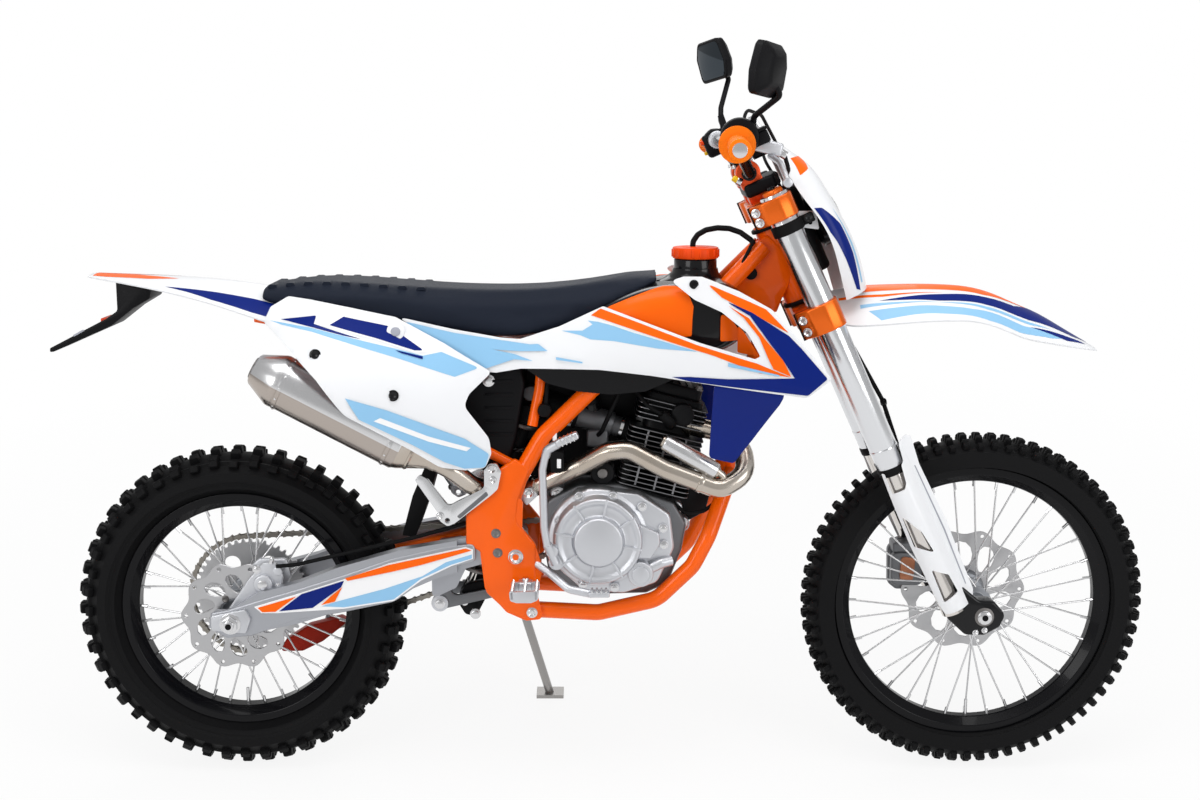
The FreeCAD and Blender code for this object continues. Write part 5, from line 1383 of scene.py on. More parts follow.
def header_parts():
    """The header with its joint rings, clamp plate and the small resonator beside it."""
    tube = pipe(header_route, 19, 44, 28)
    rings = [rod((921, -121, 613), (912, -121, 616.5), 21, soft=1.2),
             rod((898, -38, 712), (906, -40, 710), 23, soft=2),
             rod((600, -64, 597), (592, -63, 594), 21, soft=1)]
    can = rod((846, -118, 695), (948, -122, 636), 17, soft=4)
    ends = [rod((842, -118, 697), (850, -118, 693), 12, soft=2),
            rod((944, -122, 638), (952, -122, 634), 12, soft=2)]
    stub = pipe([(950, -122, 636), (962, -120, 626), (960, -120, 604)], 7.5, 10)
    plate = slab([(564, 584, 4), (588, 600, 6), (603, 584, 5), (580, 562, 5)], -98, -84, 2)
    bolt = screw((585, -98, 588), (0, -1, 0), 8, 6)
    return [(both_of(tube, *rings, *ends, stub), header_steel), (can, silencer_steel), (plate, cast_silver),
            (bolt, bright_steel)]


piece("header_pipe", "chassis", header_parts(), replaces=["exhaust_header"])


def silencer_parts():
    """The brushed can with a faceted tail cap, riveted bands, a coned inlet and its hanger."""
    length = silencer_run.length

    def ring(level, radius, count=48):
        return [silencer_frame @ Vector((x, y, level)) for x, y in circle(0, 0, radius, count)]

    def shaped(*stations, ends=True):
        return loft([ring(level, radius) for level, radius in stations], ends)

    can = shaped((48, 52), (60, 52), (length - 4, 52), (length, 50))
    cap = shaped((0, 27), (3, 31), (46, 51.5), (50, 52.5), (58, 52.5), (60, 51))
    mouth = shaped((-1, 17), (-3, 21), (3, 24), (14, 20), (30, 16), ends=False)
    bands = [shaped((a, 51.5), (a + 1, 53), (a + 9, 53), (a + 10, 51.5)) for a in (60, length - 26)]
    inlet = shaped((length - 2, 50), (length + 8, 47), (length + 52, 25), (length + 60, 21),
                   (length + 74, 20.5))
    seam = shaped((length + 20, 41.5), (length + 24, 41.5), (length + 27, 38.5), ends=False)
    rivets = []
    for level in (65, length - 21):
        for foot, head in zip(ring(level, 52.5, 14), ring(level, 54.5, 14)):
            rivets.append(rod(foot, head, 2.2, sides=8, soft=0.6))
    hanger = pipe([(250, -106, 790), (250, -84, 826), (250, -70, 838)], 7, 10)
    return [(both_of(can, cap, *bands), silencer_steel), (mouth, dark_steel),
            (both_of(inlet, seam), header_steel), (both_of(*rivets), bright_steel), (hanger, black_plastic)]


piece("silencer_can", "chassis", silencer_parts(), replaces=["silencer"])

# Swingarm and what rides on it

arm_outline = [
    (-44, 322, 8), (-40, 352, 8), (-8, 358, 10), (52, 377, 30), (136, 402, 60), (224, 430, 90),
    (312, 461, 90), (419, 486, 40), (480, 492, 12), (482, 456, 12), (433, 444, 60), (374, 412, 60),
    (320, 374, 50), (222, 353, 90), (124, 336, 60), (40, 305, 20), (-8, 300, 10)]


def swingarm_parts():
    """Outer flanks of the arms, their decals, axle blocks and adjusters."""
    flank = casting(arm_outline, -119, -108, 4)
    face = -119.3
    layers = [
        (white_vinyl, [
            (46, 365), (128, 390), (224, 421), (312, 453), (462, 486), (476, 481), (476, 462), (433, 447),
            (374, 418), (320, 377), (222, 361), (92, 352), (60, 352)]),
        (sky_vinyl, [
            (178, 366), (213, 377), (301, 401), (377, 427), (423, 455), (474, 471), (474, 463), (433, 450),
            (374, 422), (320, 380), (222, 364)]),
        (orange_vinyl, [(53, 363), (130, 386), (88, 355), (62, 354)]),
        (navy_vinyl, [(140, 391), (224, 418), (218, 405), (161, 363), (95, 356)]),
        (orange_vinyl, [(199, 388), (220, 405), (205, 376), (178, 369)]),
        (orange_vinyl, [
            (226, 423), (312, 450), (462, 483), (474, 479), (375, 450), (321, 437), (231, 418)])]
    graphics = decals(lambda x, z: face, layers)
    axle_block = slab([(-38, 318, 6), (-38, 348, 6), (30, 362, 6), (40, 340, 8), (30, 312, 6)],
                      -127, -117, 2.5)
    nut = pin(0, rear_tyre_r, -138, -124, 17, 1.5, 6)
    washer = pin(0, rear_tyre_r, -129, -124, 21, 1)
    end = pin(0, rear_tyre_r, -146, -136, 10, 1.5)
    bore = pin(0, rear_tyre_r, -146.6, -140, 6, 0)
    adjuster = rod((34, -112, 338), (66, -112, 346), 5)
    adjuster_nut = rod((40, -112, 339.5), (48, -112, 341.5), 8, sides=6, soft=0.8)
    bright = both_of(nut, washer, end, adjuster, adjuster_nut)
    right = [(flank, swingarm_alloy), (axle_block, cast_silver), (bright, bright_steel),
             (bore, black_rubber)]
    return on_both(right) + on_both(graphics)


piece("swingarm_flanks", "chassis", swingarm_parts())


def chain_guard_parts():
    """The orange slider over the left arm and the red guide round the chain's lower run."""
    slider = casting([(280, 434, 6), (388, 459, 20), (470, 478, 20), (520, 484, 10), (520, 466, 8),
                      (443, 446, 20), (378, 436, 20), (336, 422, 10), (284, 411, 6)], 60, 91, 4)
    guide = casting([(57, 212, 6), (68, 236, 8), (116, 267, 20), (184, 285, 10), (199, 276, 8),
                     (146, 234, 20), (104, 213, 10)], 58, 90, 4)
    stay = pipe([(150, 92, 262), (160, 104, 300), (168, 104, 336)], 7, 14)
    bolts = screws(((90, 234), (160, 266)), 90, 6, 4)
    return [(slider, orange_vinyl), (guide, guide_red), (stay, swingarm_alloy), (bolts, bright_steel)]


piece("chain_guides", "chassis", chain_guard_parts())


def rear_calliper_parts():
    """The rear brake's carrier and piston housing, and its hose along the arm."""
    carrier = casting([(-16, 345, 8), (16, 322, 10), (40, 350, 10), (92, 384, 10), (100, 420, 12),
                       (86, 446, 8), (60, 446, 8), (30, 412, 12), (-4, 362, 10)], -91, -79, 3)
    body = casting([(34, 384, 10), (28, 430, 12), (46, 447, 10), (104, 447, 12), (110, 410, 12),
                    (96, 382, 10)], -66, -54, 4)
    piston = softened(pin(61, 404, -102, -78, 19), 3, segments=3)
    piston_cap = pin(61, 404, -106, -100, 10, 1.5)
    lug_eye = pin(90, 430, -98, -56, 9, 2)
    nipple = rod((76, -92, 444), (80, -92, 458), 4.5, soft=1)
    hose = pipe([(88, -96, 440), (130, -104, 446), (230, -104, 470), (360, -102, 500), (470, -96, 530)],
                4, 60, 12)
    bolts = screws(((48, 432), (90, 396)), -91, 6, 4, True)
    return [(both_of(carrier, body, piston, lug_eye), cast_silver),
            (both_of(piston_cap, nipple, bolts), bright_steel), (hose, black_rubber)]


piece("rear_brake_calliper", "chassis", rear_calliper_parts(),
      replaces=["rear_calliper"])

shock_top = Vector((585, 0, 770))
shock_low = Vector((452, 0, 352))


def shock_parts():
    """The damper with its open coil spring, spring seats and end eyes."""
    down = turned(shock_top, shock_low - shock_top)
    length = (shock_low - shock_top).length
    turns = 7
    coil = []
    for i in range(turns * 16 + 1):
        angle = 2 * math.pi * i / 16
        level = 72 + (length - 140) * i / (turns * 16)
        coil.append(down @ Vector((30 * math.cos(angle), 30 * math.sin(angle), level)))
    spring = pipe(coil, 5.2, 0, 10)
    body = moved(rod((0, 0, 24), (0, 0, length * 0.55), 21, soft=2), down)
    shaft = moved(rod((0, 0, 40), (0, 0, length - 14), 8), down)
    seats = [moved(rod((0, 0, a), (0, 0, a + 9), 35, soft=2), down) for a in (60, length - 68)]
    eyes = [pin(end.x, end.z, -15, 15, 15, 2) for end in (shock_top, shock_low)]
    return [(spring, gloss_black), (body, black_plastic), (shaft, fork_chrome),
            (both_of(*seats), dark_steel), (both_of(*eyes), cast_grey)]


piece("coil_shock", "chassis", shock_parts(), replaces=["rear_shock"], crease=60)


def linkage_parts():
    """The rocker and its pull rods, with the bolts that carry them."""
    rocker = slab([(435, 350, 14), (452, 384, 12), (492, 394, 14), (502, 372, 12), (474, 318, 16),
                   (452, 322, 12)], -34, -14, 3)
    rods = slab([
        (390, 400, 10), (388, 384, 10), (398, 340, 14), (410, 338, 12), (470, 352, 20), (560, 374, 12),
        (560, 392, 12), (430, 366, 20), (418, 392, 12), (404, 404, 10)], -50, -40, 3)
    bosses = [pin(x, z, -54, -36, r, 2) for x, z, r in ((403, 392, 15), (403, 351, 17), (552, 383, 12))]
    bolts = screws(((403, 392), (403, 351), (474, 330), (552, 383)), -54, 8, 6, True)
    right = [(rocker, black_plastic), (rods, cast_grey), (both_of(*bosses), cast_silver),
             (bolts, bright_steel)]
    pins = both_of(pin(452, 352, -48, 48, 7), pin(403, 392, -50, 50, 7))
    return on_both(right) + [(pins, bright_steel)]


piece("shock_linkage", "chassis", linkage_parts(), replaces=["linkage"])


def peg_bracket_parts():
    """The passenger's peg bracket: a polished bent arm with a groove, and its bolts."""
    arm = [(500, 640, 6), (511, 650, 6), (524, 653, 6), (533, 636, 8), (526, 602, 12), (512, 589, 12),
           (442, 534, 8), (428, 528, 8), (414, 538, 8), (409, 556, 8), (366, 620, 6), (376, 630, 6),
           (390, 622, 6), (430, 568, 10), (500, 604, 12)]
    plate = slab(arm, -124, -114, 3, holes=[circle(428, 540, 5, 12)])
    groove = slab([(446, 548, 3), (452, 543, 3), (508, 590, 3), (504, 598, 3)], -125, -121, 1)
    bolts = [screw((x, -124, z), (0, -1, 0), radius, height)
             for x, z, radius, height in ((515, 642, 8, 5), (517, 620, 6, 4), (414, 549, 6, 4))]
    return on_both([(plate, polished_alloy), (groove, cast_grey), (both_of(*bolts), bright_steel)])


piece("passenger_peg_brackets", "chassis", peg_bracket_parts(),
      replaces=["rear_peg_brackets"])

# Rider's foot controls


def footpeg_parts():
    """A toothed platform peg on its folding bracket."""
    rim = [(552, 402, 6), (550, 420, 4), (606, 422, 4), (606, 404, 8), (592, 398, 8), (564, 398, 8)]
    bars = [slab(rim, y, y + 7, 1.5) for y in (-204, -140)]
    rails = [block((552, -204, 404), (559, -134, 422), 1.5), block((598, -204, 404), (605, -134, 422), 1.5),
             block((576, -200, 406), (582, -138, 420), 1.5)]
    teeth = [rod((x, -200 + 7.4 * i, 420), (x, -200 + 7.4 * i, 427), 3.0, 1.2, sides=6)
             for i in range(9) for x in (555.5, 579, 601.5)]
    neck = block((564, -142, 400), (592, -112, 420), 4, 3)
    pivot = rod((578, -126, 396), (578, -126, 426), 7, soft=1)
    spring = rod((566, -122, 398), (590, -122, 398), 8, soft=2)
    return on_both([(both_of(*bars, *rails, neck), cast_silver), (both_of(*teeth, pivot), bright_steel),
                    (spring, dark_steel)])


piece("toothed_footpegs", "chassis", footpeg_parts(), replaces=["footpegs"])


def foot_control_parts():
    """Kick lever with its folding pedal, brake pedal on the right and gear lever on the left."""
    hub = pin(631, 486, -158, -136, 12, 3)
    knuckle = pipe([(638, -148, 460), (630, -150, 480), (622, -156, 500)], 9, 10)
    arm = pipe([(622, -156, 496), (616, -160, 536), (615, -163, 594), (614, -166, 650), (621, -170, 684)],
               7.5, 24)
    elbow = pipe([(620, -169, 676), (624, -174, 690), (646, -182, 704)], 8.5, 12)
    folded = pitched((642, -186, 704), -24)
    pedal = moved(block((-2, -10, -7), (44, 10, 7), 4, 3), folded)
    grooves = [moved(block((8 + 8 * i, -11, -8), (11 + 8 * i, 11, 8), 1), folded) for i in range(4)]
    brake = pipe([(594, -104, 452), (626, -128, 435), (662, -150, 410), (708, -156, 402)], 8, 30)
    brake_tip = block((700, -170, 398), (742, -146, 409), 3, 2)
    tip_teeth = [block((706 + 9 * i, -170, 407), (710 + 9 * i, -146, 412), 1) for i in range(4)]
    pivot = pin(594, 448, -112, -92, 13, 2)
    gear = pipe([(690, 112, 424), (730, 140, 420), (806, 150, 424)], 7, 24)
    gear_shaft = pin(690, 424, 60, 120, 7)
    toe = pin(812, 424, 144, 182, 9, 2)
    levers = both_of(hub, knuckle, arm, elbow, pedal, brake, brake_tip, pivot, gear, gear_shaft)
    return [(levers, cast_silver), (both_of(*grooves, *tip_teeth), bright_steel), (toe, black_rubber)]


piece("foot_levers", "chassis", foot_control_parts(), replaces=["foot_controls"])


def plate_holder_parts():
    """The black plate arm below the tail, with a lamp and a pale slot on its right side."""
    arm = slab([
        (-214, 998, 6), (-214, 938, 10), (-238, 922, 10), (-349, 865, 3), (-350, 857, 3), (-342, 858, 3),
        (-228, 908, 14), (-184, 942, 14), (-150, 962, 8), (-142, 996, 6)], -45, 45, 3, segments=2)
    lamp = block((-252, -30, 914), (-236, 30, 922), 2)
    slot = slab([(-300, 888, 1), (-280, 899, 1), (-282, 902, 1), (-302, 891, 1)], -46, -44, 0)
    return [(arm, black_plastic), (lamp, amber_knob), (slot, grey_vinyl_and_crease_shade)]


piece("plate_arm", "chassis", plate_holder_parts(), replaces=["plate_holder"])

# Fork and clamps, in the steering frame

fork_foot = axle_in_steering.z
outer_foot = -546.0


def clamp_parts(level, height):
    """A clamp with rounded edges, split and pinched round both tubes, with its two bolts a side."""
    side = [(-26, -36, 12), (-14, -60, 10), (-30, -80, 10), (-31, -114, 14), (-8, -138, 14),
            (fork_forward, -145, 20), (52, -136, 20), (56, -104, 24)]
    other = [(x, -y, r) for x, y, r in reversed(side)]
    body = plan(side + [(42, 0, 40)] + other, level, level + height, 3, segments=3)
    slits = [block((-33, y - 1.2, level - 0.5), (-2, y + 1.2, level + height + 0.5)) for y in (-112, 112)]
    bolts = [screw((-22, way * 131, level + height * (0.5 + step * 0.22)), (-0.35, way, 0), 6.5, 5)
             for step in (-1, 1) for way in (-1, 1)]
    return [(body, anodised_orange), (both_of(*slits), black_rubber), (both_of(*bolts), bright_steel)]


def triple_clamp_parts():
    """Both clamps on their stem, and the red risers that hold the bar."""
    stem = rod((0, 0, -250), (0, 0, 30), 15)
    nut = rod((0, 0, 22), (0, 0, 33), 19, sides=6, soft=1.5)
    risers = []
    bolts = [stem, nut]
    for y in (-46, 46):
        risers.append(block((-19, y - 14, 21), (19, y + 14, 58), 3, 2))
        risers.append(rod((0, y - 15, 80), (0, y + 15, 80), 24, soft=3))
        risers.append(block((-22, y - 14, 52), (22, y + 14, 72), 3, 2))
        bolts += [screw((x, y, 99), (0, 0, 1), 4.5, 5) for x in (-18, 18)]
    return (clamp_parts(-22, 44) + clamp_parts(-251, 54)
            + [(both_of(*bolts), bright_steel), (both_of(*risers), anodised_red)])


piece("clamps_and_risers", "steering", triple_clamp_parts(), STEER, ["triple_clamps"])


def fork_leg_parts():
    """One leg: polished outer tube with its cap and seal, dark slider, and the cast axle lug."""
    y = -fork_y
    foot = fork_foot
    axle_x = axle_in_steering.x

    def tube(low, high, radius, soft=2.0, sides=32):
        return rod((fork_forward, y, low), (fork_forward, y, high), radius, sides=sides, soft=soft)

    outer = tube(outer_foot, 28, 27.5, sides=48)
    seal = tube(outer_foot - 14, outer_foot + 2, 29, sides=48)
    lip = tube(outer_foot + 36, outer_foot + 41, 28.3, 0.8, 48)
    cap = tube(26, 36, 22, sides=6)
    valve = tube(34, 42, 7, 1)
    slider = tube(foot + 30, outer_foot, 24, 0, 40)
    axle_lug = casting([
        (2, foot + 84, 12), (52, foot + 84, 12), (76, foot + 34, 14), (102, foot + 20, 14),
        (112, foot - 14, 16), (92, foot - 32, 12), (58, foot - 35, 10), (24, foot - 19, 14),
        (6, foot + 24, 14)], y - 18, y + 24, 5)
    bolt = pin(axle_x, foot, y - 26, y - 17, 14, 2, 6)
    cap_ring = pin(axle_x, foot, y - 19, y - 16, 19, 1)
    hole = pin(axle_x, foot, y - 27, y - 22, 6)
    pinch = [screw((44 + 18 * i, y - 18, foot - 22 - 3 * i), (0, -1, 0), 4.5, 3) for i in (0, 1)]
    return [(both_of(outer, lip), fork_silver), (both_of(seal, hole), black_rubber),
            (cap, anodised_orange), (both_of(valve, axle_lug), gloss_black), (slider, fork_chrome),
            (both_of(bolt, *pinch), bright_steel), (cap_ring, dark_steel)]


piece("fork_legs", "steering", on_both(fork_leg_parts()),
      STEER, ["fork_uppers", "fork_lowers"])


guard_r = 34.5


def guard_wrap(x, z):
    """The face of a leg guard: round where it goes about the leg, flat ahead of it."""
    over = min(abs(x - fork_forward), 32.0)
    return -fork_y - math.sqrt(guard_r ** 2 - over ** 2) - 0.4


def guard_parts():
    """The white guard round the outside of the lower leg, with two windows and painted shade along its
    crease.
    """
    outline = [(80, -504, 3), (74, -561, 20), (79, -685, 60), (74, -836, 10), (64, -858, 8), (4, -857, 8),
               (0, -835, 6), (-5, -705, 20), (-3, -598, 10), (-1, -547, 2), (4, -549, 2), (3, -592, 3),
               (28, -591, 6), (35, -581, 4), (40, -546, 4), (47, -540, 4), (52, -507, 10), (71, -497, 4)]
    guard = shell(outline, guard_wrap, 3, 1.0, 7)
    windows = [[(2, -640, 2), (25, -682, 3), (32, -730, 3), (1, -706, 3)],
               [(13, -760, 3), (40, -783, 3), (44, -823, 4), (11, -832, 3)]]
    for window in windows:
        guard = cut_by(guard, slab(window, -190, -100))
    # The grey strip along the guard's crease is painted shade.
    crease = sheet([(66, -560, 3), (70, -700, 3), (66, -820, 3), (64, -820, 2), (67, -700, 3),
                    (64, -560, 2)], guard_wrap, 0.4, 8)
    bolt = screw((56, guard_wrap(56, -842) - 0.5, -842), (0, -1, 0), 4.5, 3)
    return on_both([(guard, white_plastic), (crease, grey_vinyl_and_crease_shade), (bolt, gloss_black)])


piece("leg_guards", "steering", guard_parts(), STEER, ["fork_guards"])


def front_calliper_parts():
    """The front brake's two-piston calliper on the left leg."""
    body = casting([(1321, 356, 14), (1319, 430, 16), (1338, 452, 12), (1374, 450, 12), (1388, 430, 12),
                    (1386, 360, 12), (1370, 342, 12), (1338, 342, 12)], 74, 96, 5)
    inner = casting([(1321, 360, 14), (1321, 430, 16), (1386, 430, 12), (1386, 360, 12)], 40, 62, 5)
    bridge = block((1324, 44, 428), (1382, 94, 450), 5, 3)
    pistons = [pin(1350, z, 94, 102, 17, 2) for z in (376, 418)]
    bolts = screws(((1380, 366), (1380, 424)), 96, 6, 5, True)
    middle = casting([(1338, 372, 10), (1340, 424, 10), (1370, 418, 10), (1366, 370, 10)], 36, 42, 2)
    return [(both_of(body, inner, bridge), cast_grey), (both_of(*pistons), dark_steel),
            (middle, calliper_bronze), (bolts, bright_steel)]


piece("front_brake_calliper", "steering", front_calliper_parts(),
      replaces=["front_calliper"])


def front_hose_parts():
    """The front brake hose down the left leg, and the speed sensor's cable."""
    hose = pipe([(1092, 96, 1010), (1140, 84, 960), (1226, 80, 868), (1300, 82, 740), (1350, 84, 600),
                 (1360, 84, 500), (1352, 84, 452)], 4.5, 90, 12)
    cable = pipe([(1110, 70, 990), (1196, 66, 880), (1270, 62, 760), (1330, 64, 620), (1400, 66, 480),
                  (1440, 70, 400)], 3.2, 90, 10)
    clip = rod((1300, 74, 740), (1304, 90, 732), 7, sides=12, soft=1)
    return [(both_of(hose, cable), black_rubber), (clip, black_plastic)]


piece("front_hoses", "steering", front_hose_parts())

# Headlight mask

mask_front = spline([(172, 58), (142, 65), (114, 76), (90, 89), (50, 113), (0, 126), (-65, 134),
                     (-154, 136), (-226, 124)])
mask_back = spline([(172, 49), (119, 60), (77, 63), (0, 72), (-29, 79), (-83, 88), (-165, 81), (-226, 72)])
mask_half = spline([(172, 46), (142, 60), (90, 84), (30, 104), (-60, 110), (-130, 104), (-226, 82)])
mask_steps = 28
mask_cell = 6
lamp_level = -62.0
strap_level = -52


def mask_ring(level, inset, back_shift=0.0):
    """An open curve round the mask's front at a level."""
    front = mask_front(level) - inset
    back = mask_back(level) - back_shift
    half = mask_half(level) - inset
    ring = []
    for i in range(mask_steps + 1):
        angle = math.pi * (-0.5 + i / mask_steps)
        flat_share = abs(math.sin(angle)) ** 0.82 * math.copysign(1, math.sin(angle))
        ring.append((back + (front - back) * math.cos(angle) ** 0.72, half * flat_share, level))
    return ring


def mask_face(share, level):
    """A point on the mask from -1 at the right edge to 1 at the left."""
    ring = mask_ring(level, -0.5)
    place = (share + 1) / 2 * mask_steps
    i = min(int(place), mask_steps - 1)
    return Vector(ring[i]).lerp(Vector(ring[i + 1]), place - i)


def mask_decal(outline):
    """A decal drawn as (share across, level) and laid on the mask."""
    bm = gridded(flat([(share * 100, 0, level) for share, level in outline]), (0, 2), mask_cell)
    for vert in bm.verts:
        vert.co = mask_face(vert.co.x / 100, vert.co.z)
    return facing(bm, (1, 0, 0))


def mask_parts():
    """The white mask with its lamp opening, its graphics and stays, and its black inner frame."""
    rings = []
    for i in range(40):
        level = 172 - 10 * i
        rings.append(mask_ring(level, 0) + list(reversed(mask_ring(level, 3.2, -2))))
    opening = rod((60, 0, lamp_level), (180, 0, lamp_level), 56, sides=48)
    parts = [(cut_by(loft(rings), opening), white_plastic)]
    marks = [(orange_vinyl, [(0.15, 68), (0.74, 74), (0.85, 38), (0.5, 42)]),
             (navy_vinyl, [(0.97, -28), (0.86, -34), (0.64, -77), (0.62, -138), (0.67, -212), (0.78, -206),
                           (0.87, -140), (0.96, -83)]),
             (sky_vinyl, [(0.60, -40), (0.50, -120), (0.52, -200), (0.58, -200), (0.58, -120)])]
    for side in (-1, 1):
        for shade, outline in marks:
            parts.append((mask_decal([(side * share, level) for share, level in outline]), shade))
    back = plan([(20, -66, 20), (20, 66, 20), (76, 60, 20), (76, -60, 20)], -150, 20, 8, segments=3)
    leg = (fork_forward, -fork_y)
    band = rod((*leg, strap_level), (*leg, strap_level + 22), 31, soft=2)
    clip = block((46, -106, strap_level + 1), (78, -92, strap_level + 20), 3)
    bolts = [screw((66, side * 108, -40), (0, side, 0), 6, 3) for side in (-1, 1)]
    stay = slab([(50, -20, 3), (86, -36, 3), (78, -71, 3), (44, -50, 3)], 88, 92, 1,
                holes=[circle(68, -52, 4, 16)])
    return (parts + [(back, black_plastic)]
            + on_both([(both_of(band, clip), black_rubber), (stay, white_plastic)])
            + [(both_of(*bolts), gloss_black)])


piece("light_mask", "steering", mask_parts(), STEER, ["headlight_mask"])


def lamp_parts():
    """The headlamp: a bright bowl, a bulb cap, and a domed lens in a dark ring."""
    ahead_turn = pitched((0, 0, lamp_level), 90)

    def turned_part(profile, steps=64):
        return moved(lathe(profile, steps, (0, 0, 1)), ahead_turn)

    bowl = turned_part([(50, 122), (46, 116), (32, 92), (14, 78), (0, 76), (0, 72), (16, 74), (36, 88),
                        (52, 116)])
    ring = turned_part([(54, 86), (54, 126), (49, 128), (48, 122), (51, 90)])
    bulb = turned_part([(0, 76), (8, 76), (9, 100), (6, 108), (0, 110)], 32)
    lens = turned_part([(49, 124), (40, 130), (26, 134), (12, 136), (0, 136.5), (0, 133.5), (12, 133),
                        (26, 131), (40, 127), (48, 121)])
    shell_back = turned_part([(0, 62), (30, 64), (53, 90), (53, 96), (28, 74), (0, 72)], 48)
    return [(both_of(bowl, bulb), lamp_reflector), (ring, gloss_black), (lens, lamp_glass),
            (shell_back, black_plastic)]


piece("round_headlamp", "steering", lamp_parts(), STEER, ["headlamp"])

# Handlebar controls

rise_y = 230.0
bar_half = 405.0
rise = Vector((-10, rise_y, 150))
bar_end = Vector((-22, bar_half, 143))
bar_way = (bar_end - rise).normalized()
grip_start = 51.4


def on_bar(distance, side):
    """A point along a bar end, measured from its rise."""
    at = rise + bar_way * distance
    return Vector((at.x, side * at.y, at.z))


def bar_rod(start, end, radius, soft, side=-1, sides=40):
    """A round part on a bar end, between two distances from its rise."""
    return rod(on_bar(start, side), on_bar(end, side), radius, sides=sides, soft=soft)


def handlebar_parts():
    """The bent black bar and the pad over its middle."""
    bars = [rod((0, -84, 80), (0, 84, 80), 14.3)]
    for side in (-1, 1):
        bars.append(pipe([(0, side * 80, 80), (0, side * 92, 81), (-6, side * 170, 140),
                          (-10, side * rise_y, 150), (bar_end.x, side * bar_half, bar_end.z)], 11, 40, 24))
    pad = block((-20, -60, 100), (22, 60, 132), 12, 4)
    return [(both_of(*bars), gloss_black), (pad, black_plastic)]


piece("handlebar_and_pad", "steering", handlebar_parts(), STEER, ["handlebar"])


def grip_parts():
    """Grips with their inner flanges, fine rings and a silver bar end."""
    forms = [bar_rod(grip_start, grip_start + 122, 17, 1.5)]
    for i in range(14):
        forms.append(bar_rod(grip_start + 12 + 7 * i, grip_start + 15.5 + 7 * i, 18, 0.7))
    forms.append(bar_rod(grip_start + 118, grip_start + 126.5, 19.5, 2))
    plug = bar_rod(grip_start + 126, grip_start + 127.6, 13, 0.6, sides=32)
    flange = bar_rod(grip_start - 1, grip_start + 5, 33, 2, sides=56)
    small_flange = bar_rod(grip_start - 1, grip_start + 5, 21, 2, 1, 48)
    return (on_both([(both_of(*forms), grip_orange), (plug, bright_steel)])
            + [(both_of(flange, small_flange), grip_orange)])


piece("orange_grips", "steering", grip_parts(), STEER, ["grips"])


def right_controls():
    """Throttle drum, front brake's master cylinder and lever."""
    drum = moved(bar_rod(22, 46, 35, 6), Matrix.Translation((9, 0, 8)))
    cable_boss = block((-2, -262, 158), (18, -240, 178), 4)
    perch = bar_rod(-8, 12, 18, 3, sides=32)
    cylinder = moved(block((-24, -10, -12), (30, 10, 12), 5, 3), pitched((34, -250, 122), 38))
    tank_box = block((12, -268, 128), (46, -236, 152), 4, 3)
    tank_lid = block((10, -270, 151), (48, -234, 157), 2, 2)
    hose_bolt = rod((52, -250, 104), (60, -250, 92), 8, sides=6, soft=1)
    blade = pipe([(34, -250, 104), (42, -286, 88), (37, -340, 70), (31, -394, 59)], 5.5, 40, 16)
    tip = rod((31, -388, 60), (31, -398, 59), 8.5, soft=3)
    return [(both_of(drum, cable_boss, tank_box, tank_lid), black_plastic),
            (both_of(perch, cylinder, blade, tip), cast_silver), (hose_bolt, bright_steel)]


def left_controls():
    """Switch pod with its knobs, clutch perch and lever."""
    pod = bar_rod(24, 48, 27, 6, 1, 8)
    box = block((-38, 252, 118), (16, 280, 168), 8, 3)
    knob = block((-44, 256, 150), (-36, 266, 160), 2)
    second = block((-44, 262, 128), (-36, 272, 136), 2)
    perch = bar_rod(-8, 12, 18, 3, 1, 32)
    arm = block((2, 226, 128), (46, 248, 146), 5, 3)
    blade = pipe([(40, 240, 132), (50, 286, 112), (44, 340, 92), (36, 394, 80)], 6.5, 40, 16)
    adjuster = rod((46, 236, 136), (62, 222, 134), 7, soft=2)
    return [(both_of(pod, box), black_plastic), (knob, amber_knob), (second, yellow_knob),
            (both_of(perch, arm, blade), cast_silver), (adjuster, black_rubber)]


piece("hand_controls", "steering", right_controls() + left_controls(),
      STEER, ["control_levers"])


def instrument_parts():
    """A small display on the bar, the ignition lock, and the yellow cable adjuster."""
    case = block((18, -40, 96), (60, 34, 118), 6, 3)
    screen = block((24, -32, 117), (54, 26, 119.5), 1.5)
    lock = rod((30, 62, 30), (30, 62, 62), 15, soft=3)
    knob = rod((-30, -60, 84), (-24, -60, 74), 6, soft=2)
    boss = rod((-25, -60, 76), (-19, -60, 68), 8, soft=1)
    dark = plan([(-20, -64, 10), (40, -70, 10), (54, -30, 10), (54, 40, 10), (30, 66, 10), (-20, 60, 10)],
                34, 60, 6, segments=3)
    return [(both_of(case, lock, dark), black_plastic), (screen, lamp_glass), (knob, yellow_knob),
            (boss, bright_steel)]


piece("instruments", "steering", instrument_parts(), STEER)


